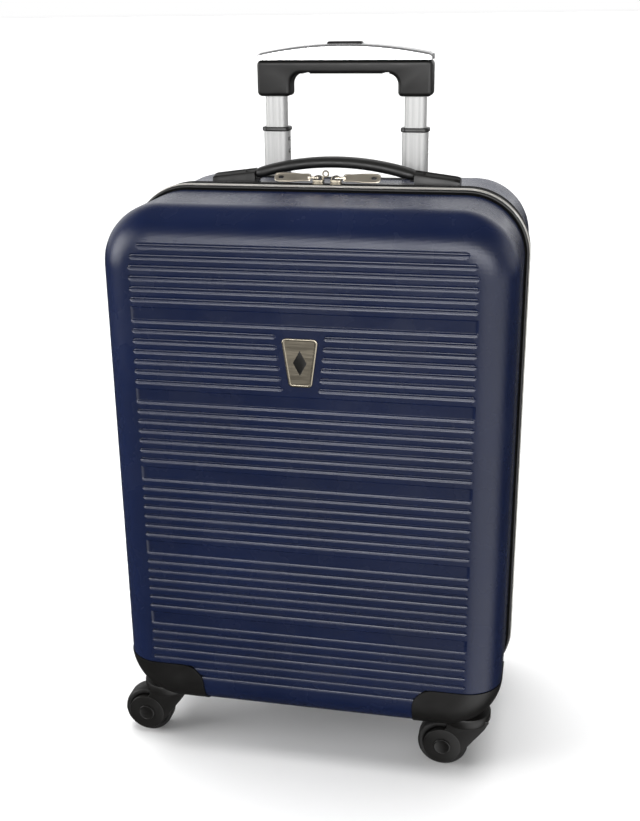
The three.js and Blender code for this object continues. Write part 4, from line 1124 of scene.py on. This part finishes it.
def grip_cover():
    """The silver cover: a long crowned cap, pinched at its ends and open in the middle for the button."""
    box = Box("grip_cover")
    foot = box.low.z + COVER_FOOT
    drop = crown_drop(box.half_x, box.high.z - box.low.z - COVER_END_HEIGHT)
    stages = []
    for step in range(COVER_STEPS + 1):
        share = -1 + 2 * step / COVER_STEPS
        near_end = max(0.0, abs(share) - (1 - COVER_END_SHARE)) / COVER_END_SHARE
        pinch = math.sqrt(max(0.0, 1 - near_end * near_end))
        lower, narrower = [1 - lost + lost * pinch for lost in COVER_PINCH]
        crown = foot + (box.high.z - drop(box.half_x * share) - foot) * lower
        wide = box.half_y * narrower
        half = [(0.0, crown), (wide * 0.45, crown)]
        for edge_step in range(COVER_EDGE_STEPS + 1):
            turn = QUARTER - QUARTER * edge_step / COVER_EDGE_STEPS
            half.append((wide - COVER_EDGE[0] + COVER_EDGE[0] * math.cos(turn),
                         crown - COVER_EDGE_DROP + COVER_EDGE[1] * math.sin(turn)))
        half += [(wide, crown - COVER_EDGE_DROP), (wide, box.low.z)]
        stages.append((mirrored(half), box.x + box.half_x * share))
    cover = sections("grip_cover_cap", X, stages, smooth_angle=40.0, centre=(box.y, 0.0))
    button = Box("release_button")
    halves = (button.half_x + COVER_SLOT_PLAY, button.half_y + COVER_SLOT_PLAY)
    slot = rounded_rectangle(*halves, COVER_SLOT_RADIUS, 6, (box.x, box.y))
    boolean(cover, prism("slot", Z, slot, box.low.z - COVER_SLOT_CLEAR, box.high.z + COVER_SLOT_CLEAR))
    smooth(cover, 40.0)
    return piece(cover, "silver_plastic", "upper_stage", "grip_cover")


# (how far in from the outline, depth below the top), in millimetres
BUTTON_CROWN = [(0.0, 1.8), (0.25, 0.9), (0.8, 0.3), (1.7, 0.0)]


def release_button():
    box = Box("release_button")
    places = [(0.0, box.low.z)] + [(inset, box.high.z - depth * MM) for inset, depth in BUTTON_CROWN]
    stages = []
    for inset, z in places:
        halves = (box.half_x - inset * MM, box.half_y - inset * MM, 2.6 * MM - inset * 0.6 * MM)
        stages.append((rounded_rectangle(*halves, 6, (box.x, box.y)), z))
    button = sections("release_button_cap", Z, stages, smooth_angle=35.0)
    return piece(button, "black_plastic", "release", "release_button", "cap_plastic")


# ---------------------------------------------------------------- carry handle

CARRY_RISE = 11.5 * MM
CARRY_THICKNESS = 10 * MM
CARRY_END_GAP = 0.4 * MM
CARRY_STEPS = 48
CARRY_END_SHARE = 0.03
CARRY_END_PINCH = 0.20
TAB_HALF_WIDTH = 6.4 * MM
TAB_HEIGHTS = (0.1 * MM, 4.3 * MM)
TAB_LAP = 4 * MM


def carry_handle():
    """A crowned bar whose two end tabs slide in the mounts."""
    box = Box("carry_grip")
    half = Box("right_carry_mount").low.x - box.x - CARRY_END_GAP
    drop = crown_drop(half, CARRY_RISE)
    path = []
    for step in range(CARRY_STEPS + 1):
        px = -half + 2 * half * step / CARRY_STEPS
        path.append(Vector((box.x + px, box.y, box.high.z - CARRY_THICKNESS / 2 - drop(px))))

    def sizes(share):
        end = min(share, 1 - share)
        ease = 1 - CARRY_END_PINCH + CARRY_END_PINCH * math.sqrt(min(1.0, end / CARRY_END_SHARE))
        return CARRY_THICKNESS / 2 * ease, box.half_y * ease

    parts = [tube_along("carry_bar", path, sizes, (0, 1, 0), 28)]
    for side in SIDES:
        ends = sorted([box.x + side * (half - TAB_LAP), box.x + side * (box.high.x - box.x)])
        low = (ends[0], box.y - TAB_HALF_WIDTH, box.low.z + TAB_HEIGHTS[0])
        high = (ends[1], box.y + TAB_HALF_WIDTH, box.low.z + TAB_HEIGHTS[1])
        parts.append(block("carry_tab", low, high, 0.8 * MM))
    return piece(joined("carry_grip_bar", parts), "soft_grip", "carry_grip", "carry_grip")


MOUNT_STEPS = 14
MOUNT_RIDGE = 1.0 * MM
MOUNT_SLOPE = 5.4 * MM
SOCKET_HALF_WIDTH = 7.2 * MM
SOCKET_HEIGHTS = (3 * MM, 11 * MM)
SOCKET_REACH = (-1 * MM, 10 * MM)


def carry_mount(side, way):
    """A wedge with a ridge down its back and a socket for the grip's end."""
    node = side + "_carry_mount"
    box = Box(node)
    inner, outer = (box.low.x, box.high.x)[::way]
    stages = []
    for step in range(MOUNT_STEPS + 1):
        share = step / MOUNT_STEPS
        tail = max(0.0, share - 0.9) / 0.1
        top = box.high.z - 2.0 * MM - share * MOUNT_SLOPE - tail * tail * 0.8 * MM
        wide = box.half_y * (1.0 - 0.10 * share - 0.05 * tail * tail)
        half = [(0.0, top + MOUNT_RIDGE), (1.5 * MM, top), (wide * 0.62, top - 0.5 * MM),
                (wide - 0.9 * MM, top - 1.6 * MM), (wide, top - 3.2 * MM), (wide, box.low.z)]
        stages.append((mirrored(half), inner + (outer - inner) * share))
    mount = sections(side + "_carry_wedge", X, stages, smooth_angle=38.0, centre=(box.y, 0.0))
    ends = sorted([inner + way * reach for reach in SOCKET_REACH])
    low = (ends[0], box.y - SOCKET_HALF_WIDTH, box.low.z + SOCKET_HEIGHTS[0])
    high = (ends[1], box.y + SOCKET_HALF_WIDTH, box.low.z + SOCKET_HEIGHTS[1])
    boolean(mount, block("socket", low, high))
    smooth(mount, 38.0)
    return piece(mount, "black_plastic", "rear_half", node)


# ---------------------------------------------------------------- wheel housings and casters

HOUSING_PROUD = 1.0 * MM
HOUSING_WALL = 4.0 * MM
DOME_RADIUS = 29.5 * MM
RECESS_RADIUS = 26.5 * MM
CROWN_TOP = 61.6 * MM
NEAR_AXIS = 1e-5
UP = (0, 0, 1)
# The fork's arm from the side, in millimetres ahead of the swivel axis and above the floor
FORK_ARM = [
    (-15.0, 56.5), (21.8, 56.5), (22.3, 54.0), (19.5, 48.0), (13.5, 39.5), (7.0, 31.0),
    (1.0, 22.5), (-4.5, 14.5), (-12.0, 10.0), (-32.0, 30.0), (-24.0, 38.0), (-17.5, 43.5),
]
CHEEK = (10.0, 13.5)
# Turned profiles in millimetres: (radius, height above the floor), and then (radius, place along the axle)
CROWN = [
    (4.3, 50.5), (21.0, 50.5), (22.6, 51.4), (23.4, 53.2),
    (23.4, 59.8), (22.8, 61.0), (21.6, 61.6), (4.3, 61.6),
]
HUB_DISC = [(3.3, 10.0), (17.4, 10.0), (18.2, 10.6), (18.2, 12.8), (17.7, 13.6), (16.8, 13.9), (3.3, 13.9)]
AXLE_CAP = [(3.0, 14.3), (8.0, 14.3), (8.0, 14.9), (7.7, 15.3), (7.1, 15.5), (6.6, 15.25), (0.01, 15.4)]
TYRE_HALF = [(24.0, 0.9), (24.0, 5.6), (23.5, 7.6), (22.4, 8.8), (20.6, 9.0), (19.0, 8.4)]
TYRE_GROOVE = (23.5, 0.5)
CORE_HALF = [(19.2, 8.2), (16.5, 6.4), (6.6, 8.0), (6.0, 9.0), (3.3, 9.0)]


def disc(name, radius, low, high, centre):
    profile = [(NEAR_AXIS, low), (radius, low), (radius, high), (NEAR_AXIS, high)]
    return turned(name, profile, UP, (centre.x, centre.y, 0))


def wheel_housing(corner, side, end, body):
    """A corner cover that stands a little proud of the shell, with a round recess for the fork's crown."""
    face_y, rim_y, edge = HALVES[end]
    face_y, edge = face_y + end * HOUSING_PROUD, edge + HOUSING_PROUD
    profile = shell_profile(face_y, rim_y, edge, HOUSING_WALL)
    skin = case_loft(corner + "_housing_cover", profile, HOUSING_PROUD)
    boolean(skin, corner_cutter(side, end, 0.0), "INTERSECT")
    swivel = caster_axis(corner)
    dome = disc("dome", DOME_RADIUS, CASE_BOTTOM - HOUSING_PROUD, CROWN_TOP + 4 * MM, swivel)
    outside = shell_profile(face_y, rim_y, edge, WALL)[: EDGE_STEPS + 3]
    boolean(dome, case_loft("volume", outside, HOUSING_PROUD), "INTERSECT")
    boolean(skin, dome, "UNION")
    boolean(skin, disc("recess", RECESS_RADIUS, 0.0, CROWN_TOP + 0.6 * MM, swivel))
    bevelled(skin, 0.45 * MM, 2, 50.0, 35.0)
    return piece(skin, "black_plastic", body, corner + "_wheel_housing")


def caster_axis(corner):
    """A point on the corner's swivel axis, from its kingpin."""
    low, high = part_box(corner + "_kingpin")
    return (low + high) / 2


def caster_frame(corner):
    """(swivel axis point, trailing direction, wheel axle direction, wheel centre)."""
    swivel = caster_axis(corner)
    low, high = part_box(corner + "_wheel")
    centre = (low + high) / 2
    trail = Vector((centre.x - swivel.x, centre.y - swivel.y, 0)).normalized()
    return swivel, trail, trail.cross(Vector(UP)), centre


def caster_fork(corner):
    """A round crown and two cheeks that sweep back and down over the wheel, each ending in a round disc."""
    swivel, trail, axle, centre = caster_frame(corner)
    parts = [turned("crown", scaled(CROWN, MM), UP, (swivel.x, swivel.y, 0))]

    def at(ahead, z, across):
        return Vector((swivel.x, swivel.y, z * MM)) - trail * (ahead * MM) + axle * (across * MM)

    for end in SIDES:
        plate = loft("cheek", [[at(ahead, z, end * across) for ahead, z in FORK_ARM] for across in CHEEK])
        bevelled(plate, 1.1 * MM, 3, 40.0)
        parts += [plate, turned("disc", scaled(HUB_DISC, MM, end * MM), axle, centre, 72)]
    return piece(joined(corner + "_fork_body", parts), "black_plastic", corner + "_swivel", corner + "_fork")


def caster_axle(corner):
    """The axle, whose two caps have a raised rim."""
    _swivel, _trail, axle, centre = caster_frame(corner)
    profile = scaled(AXLE_CAP, MM, -MM) + scaled(AXLE_CAP[::-1], MM)
    pin = turned(corner + "_axle_pin", profile, axle, centre, 48)
    return piece(pin, "black_plastic", corner + "_swivel", corner + "_axle", "cap_plastic")


def caster_wheel(corner):
    """A round-shouldered tyre with a groove round its middle, on a core."""
    _swivel, _trail, axle, centre = caster_frame(corner)
    half = [TYRE_GROOVE] + TYRE_HALF
    tyre = turned("tyre", scaled(half[::-1], MM, -MM) + scaled(half, MM), axle, centre, 96)
    core = turned("core", scaled(CORE_HALF[::-1], MM, -MM) + scaled(CORE_HALF, MM), axle, centre, 72)
    paint(core, "black_plastic")
    paint(tyre, "tread")
    return piece(joined(corner + "_wheel_tyre", [tyre, core]), "tread", corner + "_wheel", corner + "_wheel")


# ---------------------------------------------------------------- pieces that keep the CAD's shape


def rounded_copy(name, node, material, width):
    """A CAD node's shape with its sharp edges rounded."""
    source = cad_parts[node]
    obj = bpy.data.objects.new(name, source.data.copy())
    obj.data.transform(source.matrix_world)
    bpy.context.scene.collection.objects.link(obj)
    edit = bmesh.new()
    edit.from_mesh(obj.data)
    bmesh.ops.remove_doubles(edit, verts=edit.verts, dist=0.01 * MM)
    bmesh.ops.dissolve_limit(edit, angle_limit=math.radians(2), verts=edit.verts, edges=edit.edges)
    edit.to_mesh(obj.data)
    edit.free()
    bevelled(obj, width, 2, 40.0)
    return piece(obj, "black_plastic", "rear_half", node, material)


# ---------------------------------------------------------------- cloth

GUSSET_RIPPLE = 0.5 * MM
GUSSET_RIPPLE_PITCH = 23 * MM
GUSSET_STATIONS = 15
GUSSET_ROWS = 90
GUSSET_HELD = 3 * MM


def hinge_gusset():
    """The cloth strip inside the zip's uncut side, puckered along its seams."""
    box = Box("hinge_gusset")
    low, high = box.low, box.high
    rows = [low.z + (high.z - low.z) * row / GUSSET_ROWS for row in range(GUSSET_ROWS + 1)]
    stages = []
    for station in range(GUSSET_STATIONS):
        across = station / (GUSSET_STATIONS - 1)
        pucker = GUSSET_RIPPLE * (1 - math.sin(math.pi * across)) + 0.1 * MM
        ripples = [pucker * (1 + math.sin(FULL_TURN * z / GUSSET_RIPPLE_PITCH)) / 2 for z in rows]
        outer = [(low.x + ripple * 0.5, z) for ripple, z in zip(ripples, rows)]
        inner = [(high.x - GUSSET_RIPPLE * 0.5 + ripple * 0.5, z) for ripple, z in zip(ripples, rows)]
        stages.append((outer + inner[::-1], low.y + (high.y - low.y) * across))
    strip = paint(sections("hinge_gusset_cloth", Y, stages, smooth_angle=50.0), "lining")
    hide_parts("hinge_gusset")
    start, end = (box.x, high.y - GUSSET_HELD, box.z), (box.x, low.y + GUSSET_HELD, box.z)
    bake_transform(strip)
    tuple(start)
    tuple(end)


def lining(half):
    """The lining keeps the CAD's shape and gets its cloth material."""
    cloth = keep_cad(half + "_lining", "lining")


def packing_strap(node):
    """The webbing is the CAD's flat V, which keeps its shape and gets its woven material."""
    strap = keep_cad(node, "webbing")


# ---------------------------------------------------------------- studio and camera

FLOOR_HALF = 300.0
SKY_LOW, SKY_HIGH = 0.40, 0.72
SKY_DIM = 0.16
HORIZON_BLEND = 0.03
FLOOR_GLOSS = 0.06
CARD_DIRECTION = (0.66, -0.66, -0.35)
CARD_EDGE, CARD_CORE = 0.62, 0.96
CARD_GLOSS = 3.4
# (name, place, size, power, what it points at)
LIGHTS = [
    ("front_panel", (0.5, -2.5, 1.10), (3.6, 0.75), 150.0, (0.0, 0.0, 0.45)),
    ("left_panel", (-2.3, -0.9, 0.9), (1.6, 1.2), 52.0, (0.0, 0.0, 0.35)),
    ("right_panel", (2.4, 0.6, 1.0), (1.4, 1.4), 5.0, (0.1, 0.0, 0.35)),
]
SUN_PLACE = (-0.2, 0.4, 3.0)
SUN_STRENGTH = 3.5
SUN_ANGLE = math.radians(50)
CAMERA_PLACE = Vector((0.21089, -1.01359, 0.68913))
CAMERA_AZIMUTH = math.radians(12.0)
CAMERA_ELEVATION = math.radians(19.44)
CAMERA_ROLL = math.radians(-0.68)
CAMERA_LENS_MM = 49.5


def add_lamp(name, kind, place, target, energy):
    light = bpy.data.lights.new(name, kind)
    light.energy = energy
    lamp = bpy.data.objects.new(name, light)
    lamp.location = place
    lamp.rotation_euler = (Vector(target) - Vector(place)).to_track_quat("-Z", "Y").to_euler()
    bpy.context.scene.collection.objects.link(lamp)
    return lamp


def surroundings():
    """A bright ring of backdrop under a dim ceiling; below the horizon, dark but for one pale card."""
    world = bpy.data.worlds.new("studio_world")
    bpy.context.scene.world = world
    world.use_nodes = True
    writer = Nodes(world.node_tree)
    direction = writer.add("ShaderNodeTexCoord")["Generated"]
    height = writer.axes(direction)[2]
    inputs = {0: direction, 1: CARD_DIRECTION}
    aim = writer.add("ShaderNodeVectorMath", inputs, operation="DOT_PRODUCT")["Value"]
    card = writer.ramp(aim, FLOOR_GLOSS, CARD_GLOSS, CARD_EDGE, CARD_CORE, interpolation_type="SMOOTHSTEP")
    sky = writer.ramp(height, 1.0, SKY_DIM, SKY_LOW, SKY_HIGH)
    ground = writer.ramp(height, card, 1.0, -HORIZON_BLEND, 0.0)
    writer.put(writer.nodes["Background"].inputs["Color"], writer.math("MULTIPLY", sky, ground))


def studio():
    """A pale floor and soft panels."""
    half = FLOOR_HALF
    corners = [(-half, -half, 0), (half, -half, 0), (half, half, 0), (-half, half, 0)]
    floor = new_object("studio_floor", corners, [(0, 1, 2, 3)])
    floor.data.materials.append(floor_material())
    floor.visible_glossy = False
    surroundings()
    for name, place, size, power, target in LIGHTS:
        lamp = add_lamp(name, "AREA", place, target, power)
        lamp.data.shape = "RECTANGLE"
        lamp.data.size, lamp.data.size_y = size
        lamp.visible_diffuse = name != "front_panel"
    sun = add_lamp("ceiling_sun", "SUN", SUN_PLACE, (0.0, 0.0, 0.0), SUN_STRENGTH)
    sun.data.angle = SUN_ANGLE
    sun.visible_glossy = False


def camera():
    data = bpy.data.cameras.new("camera")
    data.lens = CAMERA_LENS_MM
    obj = bpy.data.objects.new("camera", data)
    bpy.context.scene.collection.objects.link(obj)
    place = Matrix.Translation(CAMERA_PLACE)
    for angle, axis in [(CAMERA_AZIMUTH, "Z"), (QUARTER - CAMERA_ELEVATION, "X"), (CAMERA_ROLL, "Z")]:
        place = place @ Matrix.Rotation(angle, 4, axis)
    obj.matrix_world = place
    bpy.context.scene.camera = obj


# ---------------------------------------------------------------- the whole suitcase

bpy.context.scene.view_settings.view_transform = "Standard"
camera()
studio()

ribbed_shell("front", -1)
ribbed_shell("rear", 1)
badge()
bead("front_welt_bead", "front_welt", "front_half", "welt", 2.4 * MM)
bead("front_piping_tube", "front_piping", "front_half", "piping", 1.25 * MM, 1.0 * MM)
bead("rear_piping_tube", "rear_piping", "rear_half", "piping", 1.7 * MM, 0.0, "cap_plastic")
zip_tape("front")
zip_tape("rear")
zip_coil("front", 0.5)
zip_coil("rear", 0.0)
slider("left", True)
slider("right", False)
zip_pull("left", -1)
zip_pull("right", 1)

for side in ("left", "right"):
    fluted_tube(side + "_outer_tube", "rear_half", 7 * MM)
    lower_tube(side + "_lower_tube", "lower_stage")
    collar(side, "lower_stage")
    fluted_tube(side + "_upper_tube", "upper_stage", 5 * MM)
    keep_cad(side + "_release_rod", "tube")
grip_arch()
grip_cover()
release_button()
keep_cad("release_yoke", "black_plastic")
rounded_copy("handle_bezel_shell", "handle_bezel", "black_plastic", 0.7 * MM)
rounded_copy("tube_bracket_block", "tube_bracket", "black_plastic", 0.6 * MM)
carry_handle()
carry_mount("left", -1)
carry_mount("right", 1)

for half, end in (("front", -1), ("rear", 1)):
    for side, way in (("left", -1), ("right", 1)):
        corner = half + "_" + side
        wheel_housing(corner, way, end, half + "_half")
        caster_fork(corner)
        caster_axle(corner)
        caster_wheel(corner)
        keep_cad(corner + "_kingpin", "steel")

lining("front")
lining("rear")
hinge_gusset()
packing_strap("left_packing_strap")
packing_strap("right_packing_strap")
rounded_copy("packing_buckle_body", "packing_buckle", "cap_plastic", 1.0 * MM)
